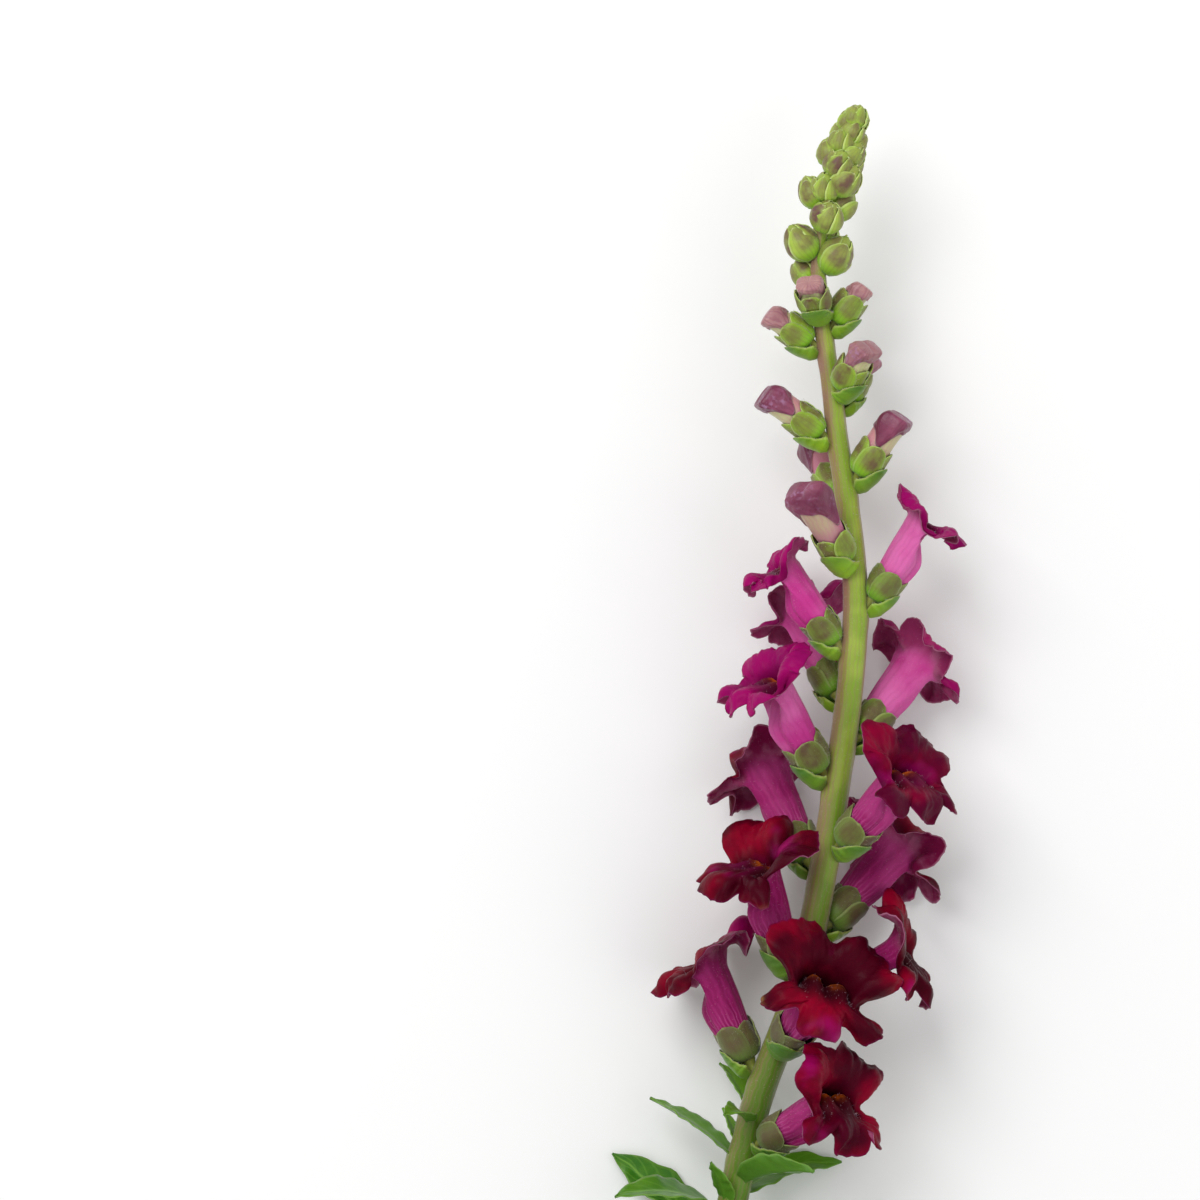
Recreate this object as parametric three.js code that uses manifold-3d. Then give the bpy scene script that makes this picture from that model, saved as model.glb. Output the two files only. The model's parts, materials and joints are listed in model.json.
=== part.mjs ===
// A cut snapdragon stem lying on a table: one leafy flower spire with a green crown,
// coloured buds below it and open two-lipped blooms at the bottom of the raceme.
// Millimetres and degrees. The stem runs along +Y towards its tip and +Z is up from the table.
// "Station" is a place along Y. "Azimuth" goes round the stem: 0 is up, 90 is +X, 180 is down.
import * as THREE from "three";
import Module from "manifold-3d";

const wasm = await Module();
wasm.setup();

const DEG = Math.PI / 180;

// ---- stem -----------------------------------------------------------------------------------

const CUT_END = -190;
const STEM_TIP = 261;
const STEM_STEP = 15;
const STEM_SIDES = 8;

// Station, then the stem axis sideways (x) and above the table (z).
const STEM_AXIS = [
  [-190, -26, 3.3],
  [-110, -27, 7],
  [-40, -23, 12.5],
  [20, -11, 19],
  [52, 0, 22],
  [96, 8.2, 25],
  [144, 13.2, 27],
  [192, 7.7, 28],
  [228, 4.4, 29],
  [262, 13.6, 31],
];

// Station, then the stem radius.
const STEM_RADIUS = [
  [-190, 3.9],
  [0, 3.6],
  [52, 3.5],
  [144, 3.0],
  [192, 2.4],
  [216, 1.9],
  [240, 1.3],
  [262, 0.6],
];

// ---- what grows on it -----------------------------------------------------------------------

const SHEET = 0.7; // thickness of petals, sepals and leaves
const SEAT_GAP = 0.3; // between a calyx and what it sits on or holds
const LEAF_FLOOR = 0.75; // lowest middle surface of a leaf or petal that is bent clear of the table
const REST_FLOOR = -0.05; // the same for the two blooms that carry the spire, cut flat at the table
const FLOOR_SOFTNESS = 3.2; // height above the table at which tissue starts to bend

// Blooms: station, azimuth, lean from the stem, openness 0..1, size. Two of them rest on the table.
const BLOOMS = [
  { station: 142.5, azimuth: 85, lean: 36, open: 0.25, size: 0.88 },
  { station: 132, azimuth: -86, lean: 43, open: 0.2, size: 0.88 },
  { station: 119.3, azimuth: -142, lean: 44, open: 0.45, size: 0.92 },
  { station: 110, azimuth: 130, lean: 42, open: 0.6, size: 0.95 },
  { station: 101, azimuth: -70, lean: 43, open: 0.5, size: 1.02 },
  { station: 85, azimuth: 48, lean: 42, open: 0.85, size: 1 },
  { station: 79, azimuth: -134, lean: 48, open: 0.9, size: 1, rests: true },
  { station: 65, azimuth: 136, lean: 46, open: 0.9, size: 1, rests: true },
  { station: 55, azimuth: -62, lean: 37, open: 1, size: 1.03 },
  { station: 47, azimuth: 82, lean: 44, open: 1, size: 0.98 },
  { station: 37.5, azimuth: 11, lean: 46, open: 1, size: 1.03 },
  { station: 30, azimuth: -98, lean: 48, open: 1, size: 1 },
  { station: 14, azimuth: 48, lean: 52, open: 0.9, size: 0.98 },
];
const BLOOM_STALK = 3.4;

// Coloured buds: station, azimuth, lean, size (1 is 20 mm from calyx to cap).
const BUDS = [
  { station: 212.5, azimuth: -14, lean: 46, size: 0.44 },
  { station: 209, azimuth: 88, lean: 45, size: 0.48 },
  { station: 205, azimuth: -90, lean: 46, size: 0.55 },
  { station: 193.5, azimuth: 45, lean: 46, size: 0.58 },
  { station: 190.5, azimuth: 132, lean: 44, size: 0.6 },
  { station: 183, azimuth: -80, lean: 46, size: 0.75 },
  { station: 172, azimuth: 75, lean: 42, size: 0.77 },
  { station: 167, azimuth: -162, lean: 40, size: 0.85 },
  { station: 152.5, azimuth: -33, lean: 42, size: 1.06 },
];
const BUD_STALK = { least: 1.4, growth: 2 };
const BUD_CALYX = { least: 0.68, growth: 0.34, leastGirth: 0.68, girthGrowth: 0.26 };
const BUD_BODY = { leastGirth: 0.6, girthGrowth: 0.4 };

// Closed green buds: station of the stalk, azimuth, lean, width and length.
const GREEN_BUDS = [
  { station: 220, azimuth: -130, lean: 40, width: 6.2, length: 8 },
  { station: 222.5, azimuth: 78, lean: 34, width: 7.8, length: 10.6 },
  { station: 226, azimuth: -75, lean: 40, width: 8, length: 10 },
  { station: 228, azimuth: 165, lean: 40, width: 6.8, length: 8.6 },
  { station: 233, azimuth: 12, lean: 40, width: 7.4, length: 8.6 },
  { station: 236.5, azimuth: 110, lean: 40, width: 6.8, length: 8.4 },
  { station: 238, azimuth: -92, lean: 46, width: 6.8, length: 8.6 },
  { station: 240, azimuth: -28, lean: 40, width: 6.2, length: 7.6 },
  { station: 242, azimuth: 42, lean: 38, width: 7.2, length: 9.4 },
  { station: 243.5, azimuth: 170, lean: 40, width: 5.8, length: 6.8 },
];

// The crown: the youngest buds, in a spiral that tightens to the tip.
const CROWN = {
  buds: 12,
  from: 245.5,
  to: 256.8,
  turn: 137.5,
  lean: [36, 10],
  width: [7, 5],
  length: [8, 6],
};

// Leaves: a spiral down the lower stem, each one longer than the last to a third of the way.
const LEAVES = {
  count: 24,
  top: 21,
  spacing: 3.7,
  stretch: 0.12,
  turn: 137.5,
  first: -160,
  clearBelow: 38,
  length: [21, 38],
  sideLeafEvery: 3,
};

// ---- small mathematics ----------------------------------------------------------------------

const lerp = THREE.MathUtils.lerp;
const clamp = THREE.MathUtils.clamp;

// A repeatable value from -1 to 1 for item i and channel k.
function jitter(i, k) {
  const wave = Math.sin(i * 12.9898 + k * 78.233) * 43758.5453;
  return 2 * (wave - Math.floor(wave)) - 1;
}

function smoothstep(value, low, high) {
  const t = clamp((value - low) / (high - low), 0, 1);
  return t * t * (3 - 2 * t);
}

// A smooth curve through rows of [station, value, value ...], read at one station.
function along(rows, station) {
  const last = rows.length - 1;
  const slope = (row, column) => {
    const before = rows[Math.max(row - 1, 0)];
    const after = rows[Math.min(row + 1, last)];
    return (after[column] - before[column]) / (after[0] - before[0]);
  };
  let row = 0;
  while (row < last - 1 && station > rows[row + 1][0]) row += 1;
  const span = rows[row + 1][0] - rows[row][0];
  const t = clamp((station - rows[row][0]) / span, 0, 1);
  return rows[row].slice(1).map((start, k) => {
    const column = k + 1;
    const end = rows[row + 1][column];
    const rise = (2 * t - 3) * t * t;
    return (
      start + (start - end) * rise +
      span * slope(row, column) * t * (1 - t) ** 2 -
      span * slope(row + 1, column) * t * t * (1 - t)
    );
  });
}

// Weighted sum of vectors: blend([vector, weight], ...).
function blend(...terms) {
  const sum = new THREE.Vector3();
  for (const [vector, weight] of terms) sum.addScaledVector(vector, weight);
  return sum;
}

// Tissue that would go below the table bends to lie along it.
function settle(point, floor) {
  if (point.z >= FLOOR_SOFTNESS) return point;
  const depth = FLOOR_SOFTNESS - floor;
  const height = floor + depth * Math.exp((point.z - FLOOR_SOFTNESS) / depth);
  return new THREE.Vector3(point.x, point.y, height);
}

// ---- closed meshes --------------------------------------------------------------------------

class ClosedMesh {
  constructor() {
    this.points = [];
    this.faces = [];
  }

  add(point) {
    this.points.push(point);
    return this.points.length - 1;
  }

  addRow(row) {
    return row.map((point) => this.add(point));
  }

  // Two triangles with the corners a, b, c, d in order, split from a to c.
  quad(a, b, c, d) {
    this.faces.push([a, b, c], [a, c, d]);
  }

  solid() {
    const vertProperties = new Float32Array(this.points.flatMap((p) => [p.x, p.y, p.z]));
    const triVerts = new Uint32Array(this.faces.flat());
    return new wasm.Manifold(new wasm.Mesh({ numProp: 3, vertProperties, triVerts }));
  }
}

// Unit normals of a grid of points; closed grids join each row's last point to its first.
function gridNormals(grid, closed) {
  const rows = grid.length;
  const columns = grid[0].length;
  const column = (j) => (closed ? (j + columns) % columns : clamp(j, 0, columns - 1));
  const at = (i, j) => grid[clamp(i, 0, rows - 1)][column(j)];
  return grid.map((row, i) =>
    row.map((_, j) => {
      const up = at(i + 1, j).clone().sub(at(i - 1, j));
      const across = at(i, j + 1).clone().sub(at(i, j - 1));
      return up.cross(across).normalize();
    }),
  );
}

// The grid moved along its normals by a distance.
function offsetGrid(grid, normals, distance) {
  return grid.map((row, i) => row.map((point, j) => blend([point, 1], [normals[i][j], distance])));
}

// A cup of even thickness: rings of points from its foot to its rim, closed at the foot.
function cup(rings, thickness, forward) {
  const mesh = new ClosedMesh();
  const normals = gridNormals(rings, true);
  const outer = offsetGrid(rings, normals, thickness / 2).map((row) => mesh.addRow(row));
  const inner = offsetGrid(rings, normals, -thickness / 2).map((row) => mesh.addRow(row));
  const count = rings[0].length;
  const foot = blend(...rings[0].map((point) => [point, 1 / count]));
  const outerFoot = mesh.add(blend([foot, 1], [forward, -thickness / 2]));
  const innerFoot = mesh.add(blend([foot, 1], [forward, thickness / 2]));
  const rim = rings.length - 1;
  for (let j = 0; j < count; j += 1) {
    const k = (j + 1) % count;
    for (let i = 0; i < rim; i += 1) {
      mesh.quad(outer[i][j], outer[i + 1][j], outer[i + 1][k], outer[i][k]);
      mesh.faces.push([inner[i][j], inner[i + 1][k], inner[i + 1][j]]);
      mesh.faces.push([inner[i][j], inner[i][k], inner[i + 1][k]]);
    }
    mesh.quad(outer[rim][k], outer[rim][j], inner[rim][j], inner[rim][k]);
    mesh.faces.push([outer[0][j], outer[0][k], outerFoot]);
    mesh.faces.push([inner[0][k], inner[0][j], innerFoot]);
  }
  return mesh.solid();
}

// A blade of even thickness over an open grid of points.
function blade(grid, thickness) {
  const mesh = new ClosedMesh();
  const normals = gridNormals(grid, false);
  const front = offsetGrid(grid, normals, thickness / 2).map((row) => mesh.addRow(row));
  const back = offsetGrid(grid, normals, -thickness / 2).map((row) => mesh.addRow(row));
  const last = grid.length - 1;
  const edge = grid[0].length - 1;
  for (let i = 0; i < last; i += 1) {
    for (let j = 0; j < edge; j += 1) {
      mesh.quad(front[i][j], front[i + 1][j], front[i + 1][j + 1], front[i][j + 1]);
      mesh.faces.push([back[i][j], back[i + 1][j + 1], back[i + 1][j]]);
      mesh.faces.push([back[i][j], back[i][j + 1], back[i + 1][j + 1]]);
    }
    mesh.quad(front[i][0], back[i][0], back[i + 1][0], front[i + 1][0]);
    mesh.quad(front[i + 1][edge], back[i + 1][edge], back[i][edge], front[i][edge]);
  }
  for (let j = 0; j < edge; j += 1) {
    mesh.quad(front[0][j + 1], back[0][j + 1], back[0][j], front[0][j]);
    mesh.quad(front[last][j], back[last][j], back[last][j + 1], front[last][j + 1]);
  }
  return mesh.solid();
}

// A solid body through rings of points, with a point at each end.
function loft(rings, start, end) {
  const mesh = new ClosedMesh();
  const rows = rings.map((row) => mesh.addRow(row));
  const foot = mesh.add(start);
  const top = mesh.add(end);
  const last = rings.length - 1;
  const count = rings[0].length;
  for (let j = 0; j < count; j += 1) {
    const k = (j + 1) % count;
    for (let i = 0; i < last; i += 1) mesh.quad(rows[i][j], rows[i + 1][j], rows[i + 1][k], rows[i][k]);
    mesh.faces.push([rows[0][j], rows[0][k], foot]);
    mesh.faces.push([rows[last][k], rows[last][j], top]);
  }
  return mesh.solid();
}

// The outer skin alone of a joined solid: hollows that the joining sealed are filled.
function withoutHollows(solid) {
  const bodies = solid.decompose().filter((body) => body.volume() > 0);
  return bodies.reduce((largest, body) => (body.volume() > largest.volume() ? body : largest));
}

// ---- frames on the stem ---------------------------------------------------------------------

function stemPoint(station) {
  const [x, z] = along(STEM_AXIS, station);
  return new THREE.Vector3(x, station, z);
}

function stemRadius(station) {
  return along(STEM_RADIUS, station)[0];
}

function stemFrame(station) {
  const low = Math.max(station - 1, CUT_END);
  const high = Math.min(station + 1, STEM_TIP);
  const tangent = stemPoint(high).sub(stemPoint(low)).normalize();
  const right = tangent.clone().cross(new THREE.Vector3(0, 0, 1)).normalize();
  const up = right.clone().cross(tangent);
  return { point: stemPoint(station), tangent, right, up, radius: stemRadius(station) };
}

function radial(frame, azimuth) {
  return blend([frame.up, Math.cos(azimuth * DEG)], [frame.right, Math.sin(azimuth * DEG)]);
}

// Tissue that would run into the stem lies against it instead, clear of its skin: a calyx in
// the first layer, the petals inside it in the second.
function besideStem(point, layer) {
  const frame = stemFrame(clamp(point.y, CUT_END, STEM_TIP));
  const away = point.clone().sub(frame.point);
  away.addScaledVector(frame.tangent, -away.dot(frame.tangent));
  const least = frame.radius + layer * SEAT_GAP + (layer - 0.5) * SHEET;
  const distance = away.length();
  if (distance >= least) return point;
  return blend([point, 1], [away, (least - distance) / distance]);
}

// The frame of what grows from the stem on a short stalk: forward along its own axis,
// dorsal on the side of the stem, side across both. Its origin is at the end of the stalk.
function growthFrame({ station, azimuth, lean }, stalk) {
  const frame = stemFrame(station);
  const outward = radial(frame, azimuth);
  const tilt = lean * DEG;
  const forward = blend([frame.tangent, Math.cos(tilt)], [outward, Math.sin(tilt)]);
  const dorsal = blend([frame.tangent, Math.sin(tilt)], [outward, -Math.cos(tilt)]);
  const side = dorsal.clone().cross(forward);
  const origin = blend([frame.point, 1], [outward, frame.radius], [forward, stalk]);
  const place = ([across, above, ahead]) =>
    blend([origin, 1], [side, across], [dorsal, above], [forward, ahead]);
  return { origin, forward, dorsal, side, place, root: frame.point };
}

// ---- stem, stalks, bracts and leaves --------------------------------------------------------

function circle(centre, across, over, radius, sides) {
  return Array.from({ length: sides }, (_, j) => {
    const angle = (2 * Math.PI * (j + 0.5)) / sides;
    return blend([centre, 1], [over, radius * Math.cos(angle)], [across, radius * Math.sin(angle)]);
  });
}

function stemAxis() {
  const steps = Math.round((STEM_TIP - CUT_END) / STEM_STEP);
  const rings = [];
  for (let i = 0; i <= steps; i += 1) {
    const frame = stemFrame(lerp(CUT_END, STEM_TIP, i / steps));
    rings.push(circle(frame.point, frame.up, frame.right, frame.radius, STEM_SIDES));
  }
  return loft(rings, stemPoint(CUT_END), stemPoint(STEM_TIP).add(new THREE.Vector3(0, 0.4, 0)));
}

const PEDICEL = { sides: 6, drop: 3.2, least: 0.55, growth: 0.6 };

// A short stalk from the middle of the stem to just under a calyx.
function pedicel(growth, size) {
  const start = stemPoint(growth.root.y - PEDICEL.drop * size);
  const end = blend([growth.origin, 1], [growth.forward, CALYX[0][0] * size - SEAT_GAP - SHEET / 2]);
  const radius = PEDICEL.least + PEDICEL.growth * size;
  const rings = [
    circle(start, growth.side, growth.dorsal, radius, PEDICEL.sides),
    circle(end, growth.side, growth.dorsal, radius * 1.2, PEDICEL.sides),
  ];
  return loft(rings, start, end);
}

// The direction of the next step of growth, turned along the table where it would run into it.
function alongTable(direction, height, step) {
  const steepest = clamp((0.6 * (height - LEAF_FLOOR)) / step, 0, 1);
  if (-direction.z <= steepest) return direction;
  const level = new THREE.Vector3(direction.x, direction.y, 0).setLength(Math.sqrt(1 - steepest * steepest));
  return level.setZ(-steepest);
}

// A leaf or bract: its middle line leaves the stem at an angle and bends away from it.
function leafBlade({ station, azimuth, lean, bend, length, width, fold, steps, twist = 0 }) {
  const frame = stemFrame(station);
  const outward = radial(frame, azimuth);
  const across = frame.tangent.clone().cross(outward);
  const grid = [];
  let point = blend([frame.point, 1], [outward, frame.radius * 0.4]);
  for (let i = 0; i <= steps; i += 1) {
    const t = i / steps;
    const angle = (lean + bend * t) * DEG;
    const free = blend([frame.tangent, Math.cos(angle)], [outward, Math.sin(angle)]);
    const forward = alongTable(free, point.z, length / steps);
    const level = across.clone().setZ(across.z * smoothstep(point.z, LEAF_FLOOR, 3 * FLOOR_SOFTNESS));
    const side = level.addScaledVector(forward, -level.dot(forward)).normalize();
    side.applyAxisAngle(forward, twist * t * DEG);
    const face = forward.clone().cross(side);
    if (i > 0) point = blend([point, 1], [forward, length / steps]);
    const half = (width / 2) * leafOutline(t);
    grid.push(
      [-1, 0, 1].map((edge) => {
        const lift = fold * half * Math.abs(edge);
        return settle(blend([point, 1], [side, half * edge], [face, lift]), LEAF_FLOOR);
      }),
    );
  }
  return blade(grid, SHEET + 0.1);
}

// Half width of a leaf along its length, as a share of the widest: narrow foot, pointed tip.
function leafOutline(t) {
  const full = Math.sin(Math.PI * t ** 0.8) ** 0.85;
  return Math.max(full, lerp(0.22, 0.07, t));
}

// A bract round its calyx: ahead, radius, half angle. Before them comes its foot in the stem.
const BRACT = [
  [-2.2, 2.8, 54],
  [0.2, 4.5, 50],
  [2.9, 5.2, 6],
];
const BRACT_FOOT = { drop: 3.1, depth: 0.6, halfAngle: 42 };

// The small scoop-shaped leaf that holds a calyx from below.
function bract(growth, size, girth) {
  const stem = stemFrame(growth.root.y - BRACT_FOOT.drop * size);
  const away = growth.origin.clone().sub(stem.point);
  const outward = away.addScaledVector(stem.tangent, -away.dot(stem.tangent)).normalize();
  const beside = stem.tangent.clone().cross(outward);
  const reach = stem.radius * BRACT_FOOT.depth;
  const edges = [-1, 0, 1];
  const foot = edges.map((edge) => {
    const turn = edge * BRACT_FOOT.halfAngle * DEG;
    return blend([stem.point, 1], [outward, reach * Math.cos(turn)], [beside, reach * Math.sin(turn)]);
  });
  const scoop = BRACT.map(([ahead, radius, halfAngle]) =>
    edges.map((edge) => {
      const turn = edge * halfAngle * DEG;
      const clear = radius * girth + SHEET + SEAT_GAP;
      const point = growth.place([clear * Math.sin(turn), -clear * Math.cos(turn), ahead * size]);
      return settle(point, LEAF_FLOOR);
    }),
  );
  return blade([foot, ...scoop], SHEET);
}

function leaves() {
  const made = [];
  for (let i = 0; i < LEAVES.count; i += 1) {
    const station = LEAVES.top - LEAVES.spacing * i - LEAVES.stretch * i * i + 1.2 * jitter(i, 1);
    const age = Math.min(1, i / (LEAVES.count / 3));
    const azimuth = clearOfTable(LEAVES.first + LEAVES.turn * i);
    const length = lerp(...LEAVES.length, age) + 4 * jitter(i, 2);
    const leaf = {
      station,
      azimuth,
      lean: 52 + 8 * jitter(i, 3),
      bend: 34 + 14 * jitter(i, 4),
      length,
      width: length * (0.36 + 0.04 * jitter(i, 5)),
      fold: 0.3 + 0.12 * jitter(i, 6),
      steps: 4,
      twist: Math.abs(azimuth) < 100 ? 40 * jitter(i, 9) : 0,
    };
    made.push(leafBlade(leaf));
    if (i % LEAVES.sideLeafEvery === 0) made.push(leafBlade(sideLeaf(leaf, i)));
  }
  return made;
}

// A small young leaf in the angle above a leaf.
function sideLeaf(leaf, i) {
  const length = leaf.length * (0.42 + 0.08 * jitter(i, 7));
  return {
    ...leaf,
    station: leaf.station + 2.2,
    azimuth: leaf.azimuth + 16 * Math.sign(jitter(i, 8)),
    lean: 30,
    bend: 18,
    length,
    width: length * 0.42,
    fold: 0.2,
    steps: 3,
    twist: 0,
  };
}

// Brings an azimuth into -180..180 and turns what points at the table to the side.
function clearOfTable(azimuth) {
  const wrapped = ((((azimuth + 180) % 360) + 360) % 360) - 180;
  const limit = 180 - LEAVES.clearBelow;
  return clamp(wrapped, -limit, limit);
}

// ---- green buds -----------------------------------------------------------------------------

// A closed bud wrapped in its sepals: an egg with five soft ridges that meet at a blunt tip.
function greenBud(bud, sides, rows) {
  const growth = growthFrame(bud, 0);
  const radius = bud.width / 2;
  const rings = [];
  for (let i = 0; i < rows; i += 1) {
    const t = (i + 0.7) / (rows + 0.2);
    const swell = Math.sin(Math.PI * t ** 0.85) ** 0.62;
    rings.push(
      Array.from({ length: sides }, (_, j) => {
        const angle = (2 * Math.PI * j) / sides;
        const ridge = 1 + (j % 2 === 0 ? 0.06 : -0.06) * smoothstep(t, 0.1, 0.5);
        const reach = radius * swell * ridge;
        return growth.place([reach * Math.sin(angle), reach * Math.cos(angle), bud.length * t - 0.6]);
      }),
    );
  }
  return loft(rings, growth.place([0, 0, -0.8]), growth.place([0, 0, bud.length - 0.5]));
}

function crown() {
  return Array.from({ length: CROWN.buds }, (_, i) => {
    const t = i / (CROWN.buds - 1);
    return greenBud(
      {
        station: lerp(CROWN.from, CROWN.to, t),
        azimuth: CROWN.turn * i,
        lean: lerp(...CROWN.lean, t),
        width: lerp(...CROWN.width, t),
        length: lerp(...CROWN.length, t),
      },
      6,
      3,
    );
  });
}

// ---- calyx ----------------------------------------------------------------------------------

// Rings of the calyx cup: ahead of the stalk, radius. The last one carries the sepal tips.
const CALYX = [
  [-0.5, 3.1],
  [1.8, 4.3],
  [5.0, 4.95],
];
const SEPALS = 5;
const SEPAL_TIP = 2.6;

function calyx(growth, size, girth) {
  const columns = 2 * SEPALS;
  const rings = CALYX.map(([ahead, radius], row) =>
    Array.from({ length: columns }, (_, j) => {
      const angle = (2 * Math.PI * j) / columns;
      const tip = row === CALYX.length - 1 && j % 2 === 1 ? SEPAL_TIP : 0;
      const reach = radius * girth;
      const point = growth.place([reach * Math.sin(angle), reach * Math.cos(angle), (ahead + tip) * size]);
      return settle(besideStem(point, 1), LEAF_FLOOR);
    }),
  );
  return cup(rings, SHEET, growth.forward);
}

// ---- corolla --------------------------------------------------------------------------------

// Columns of the corolla, in degrees either side of the cleft of the upper lip.
const COROLLA_HALF = [18, 40, 64, 87, 106, 128, 152, 170];
const COROLLA_COLUMNS = [0, ...COROLLA_HALF, ...COROLLA_HALF.map((angle) => 360 - angle).reverse()];

// The tube: ahead of the calyx foot, half width, half height, shift to the dorsal side.
const TUBE = [
  [0.8, 2.3, 2.3, 0],
  [13, 5, 4.8, -0.1],
];
const SHOULDER = { ahead: 18.6, width: 5.8, height: 5.3 };
const MOUTH = { ahead: 22, width: 6.7, height: 5.7 };
const UPPER_LOBE = 14.5;
const LOWER_LOBE = 10.5;
const PALATE = { height: 4.6, groove: 0.42, grooveWidth: 0.3, base: -1 };

// Clefts between the petal lobes: degrees from the cleft of the upper lip, width, depth as a share.
const LOBE_CLEFTS = [
  [0, 12, 0.38],
  [90, 12, 0.78],
  [150, 9, 0.5],
];

// Reach of the petal lobes beyond the mouth, by degrees from the cleft of the upper lip.
function lobeReach(degrees, bloom) {
  const angle = degrees > 180 ? 360 - degrees : degrees;
  const upper = UPPER_LOBE * lerp(0.62, 1, bloom.open);
  const lower = LOWER_LOBE * lerp(0.7, 1, bloom.open);
  const full = lerp(upper, lower, smoothstep(angle, 80, 100));
  const cleft = ([centre, width, depth]) => 1 - depth * Math.exp(-(((angle - centre) / width) ** 2));
  return LOBE_CLEFTS.reduce((reach, row) => reach * cleft(row), full);
}

// Top of the palate across the mouth: two bosses with a groove between them.
function palateTop(share) {
  const arch = 1 - share * share;
  const groove = 1 - PALATE.groove * Math.exp(-((share / PALATE.grooveWidth) ** 2));
  return PALATE.base + PALATE.height * arch * groove;
}

// A path from a rim point that turns away from forward: steps of [share of reach, angle].
function lobePath(start, outward, reach, steps) {
  return steps.reduce((point, [share, turn]) => {
    const out = reach * share * Math.sin(turn * DEG);
    const ahead = reach * share * Math.cos(turn * DEG);
    return [point[0] + outward[0] * out, point[1] + outward[1] * out, point[2] + ahead];
  }, start);
}

const LOBE_SHARES = [0.34, 0.34, 0.32];
const UPPER_TURNS = { opening: [10, 55, 105], open: [28, 70, 112] };
const LOWER_TURNS = { opening: [60, 115], open: [84, 130] };
const RUFFLE = { height: 1.1, waves: 7 };

function upperLip(ring, degrees, bloom) {
  const [sin, cos] = [Math.sin(degrees * DEG), Math.cos(degrees * DEG)];
  if (ring === 0) return [SHOULDER.width * sin, SHOULDER.height * cos, SHOULDER.ahead];
  const rim = [MOUTH.width * sin, MOUTH.height * cos, MOUTH.ahead];
  const steps = LOBE_SHARES.slice(0, ring - 1).map((share, i) => [
    share,
    lerp(UPPER_TURNS.opening[i], UPPER_TURNS.open[i], bloom.open),
  ]);
  return lobePath(rim, [sin, cos], lobeReach(degrees, bloom), steps);
}

function lowerLip(ring, degrees, bloom) {
  const [sin, cos] = [Math.sin(degrees * DEG), Math.cos(degrees * DEG)];
  const down = Math.abs(cos);
  const top = palateTop(sin);
  if (ring === 0) {
    return [SHOULDER.width * sin, lerp(-SHOULDER.height * down, top, 0.5), SHOULDER.ahead - 0.6];
  }
  if (ring === 1) return [MOUTH.width * 0.95 * sin, top, MOUTH.ahead - 0.6];
  const foot = [MOUTH.width * 1.04 * sin, -2.2 - 1.8 * down, MOUTH.ahead + 3.4 - 2 * sin * sin];
  const steps = LOWER_TURNS.open.slice(0, ring - 2).map((turn, i) => [
    0.5,
    lerp(LOWER_TURNS.opening[i], turn, bloom.open),
  ]);
  return lobePath(foot, [sin, cos], lobeReach(degrees, bloom), steps);
}

function corollaPoint(row, degrees, bloom) {
  const cos = Math.cos(degrees * DEG);
  if (row < TUBE.length) {
    const [ahead, width, height, shift] = TUBE[row];
    return [width * Math.sin(degrees * DEG), shift + height * cos, ahead];
  }
  const ring = row - TUBE.length;
  const upper = upperLip(ring, degrees, bloom);
  const lower = lowerLip(ring, degrees, bloom);
  const share = smoothstep(cos, -0.12, 0.12);
  const point = upper.map((value, i) => lerp(lower[i], value, share));
  const wave = Math.sin(degrees * DEG * RUFFLE.waves + bloom.station);
  const ruffle = RUFFLE.height * lerp(0.4, 1, bloom.open) * wave;
  point[2] += ruffle * Math.max(0, ring - 2) / 2;
  return point;
}

const COROLLA_ROWS = TUBE.length + 5;

function corolla(growth, bloom, floor) {
  const rings = Array.from({ length: COROLLA_ROWS }, (_, row) =>
    COROLLA_COLUMNS.map((degrees) => {
      const point = corollaPoint(row, degrees, bloom).map((value) => value * bloom.size);
      return settle(besideStem(growth.place(point), 2), floor);
    }),
  );
  return cup(rings, SHEET, growth.forward);
}

// ---- coloured buds --------------------------------------------------------------------------

// Furled petals: ahead, half width, half height, shift to the dorsal side. The step after the
// third row is the folded upper lip, which covers the end of the bud like a cap.
const FURLED = [
  [1, 1.9, 1.9, 0],
  [7, 3.6, 3.5, 0],
  [11.8, 4.05, 3.9, 0],
  [12.8, 4.5, 4.3, 0.1],
  [17.5, 4.45, 3.9, -0.4],
  [20.4, 3.6, 2.9, -1.2],
];
const FURLED_END = [0, -1.5, 21.2];
const FURLED_SIDES = 8;
const CAP_START = 12;

function furledPetals(growth, size) {
  const capGirth = Math.sqrt(size); // a short bud is relatively wide
  const bodyGirth = BUD_BODY.leastGirth + BUD_BODY.girthGrowth * capGirth;
  const scaled = ([across, above, ahead]) => {
    const girth = ahead < CAP_START ? bodyGirth : capGirth;
    return growth.place([across * girth, above * girth, ahead * size]);
  };
  const rings = FURLED.map(([ahead, width, height, shift]) =>
    Array.from({ length: FURLED_SIDES }, (_, j) => {
      const angle = (2 * Math.PI * (j + 0.5)) / FURLED_SIDES;
      return besideStem(scaled([width * Math.sin(angle), shift + height * Math.cos(angle), ahead]), 2);
    }),
  );
  return loft(rings, scaled([0, 0, FURLED[0][0] - 0.1]), scaled(FURLED_END));
}

// ---- the plant ------------------------------------------------------------------------------

const TABLE = [0, 0, 1];

// Cut flat where it meets the table.
function onTable(solid) {
  return withoutHollows(solid.trimByPlane(TABLE, 0));
}

// Length and girth scales of a coloured bud's calyx.
function budCalyx({ size }) {
  const length = BUD_CALYX.least + BUD_CALYX.growth * size;
  return [length, BUD_CALYX.leastGirth + BUD_CALYX.girthGrowth * Math.sqrt(size)];
}

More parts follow.
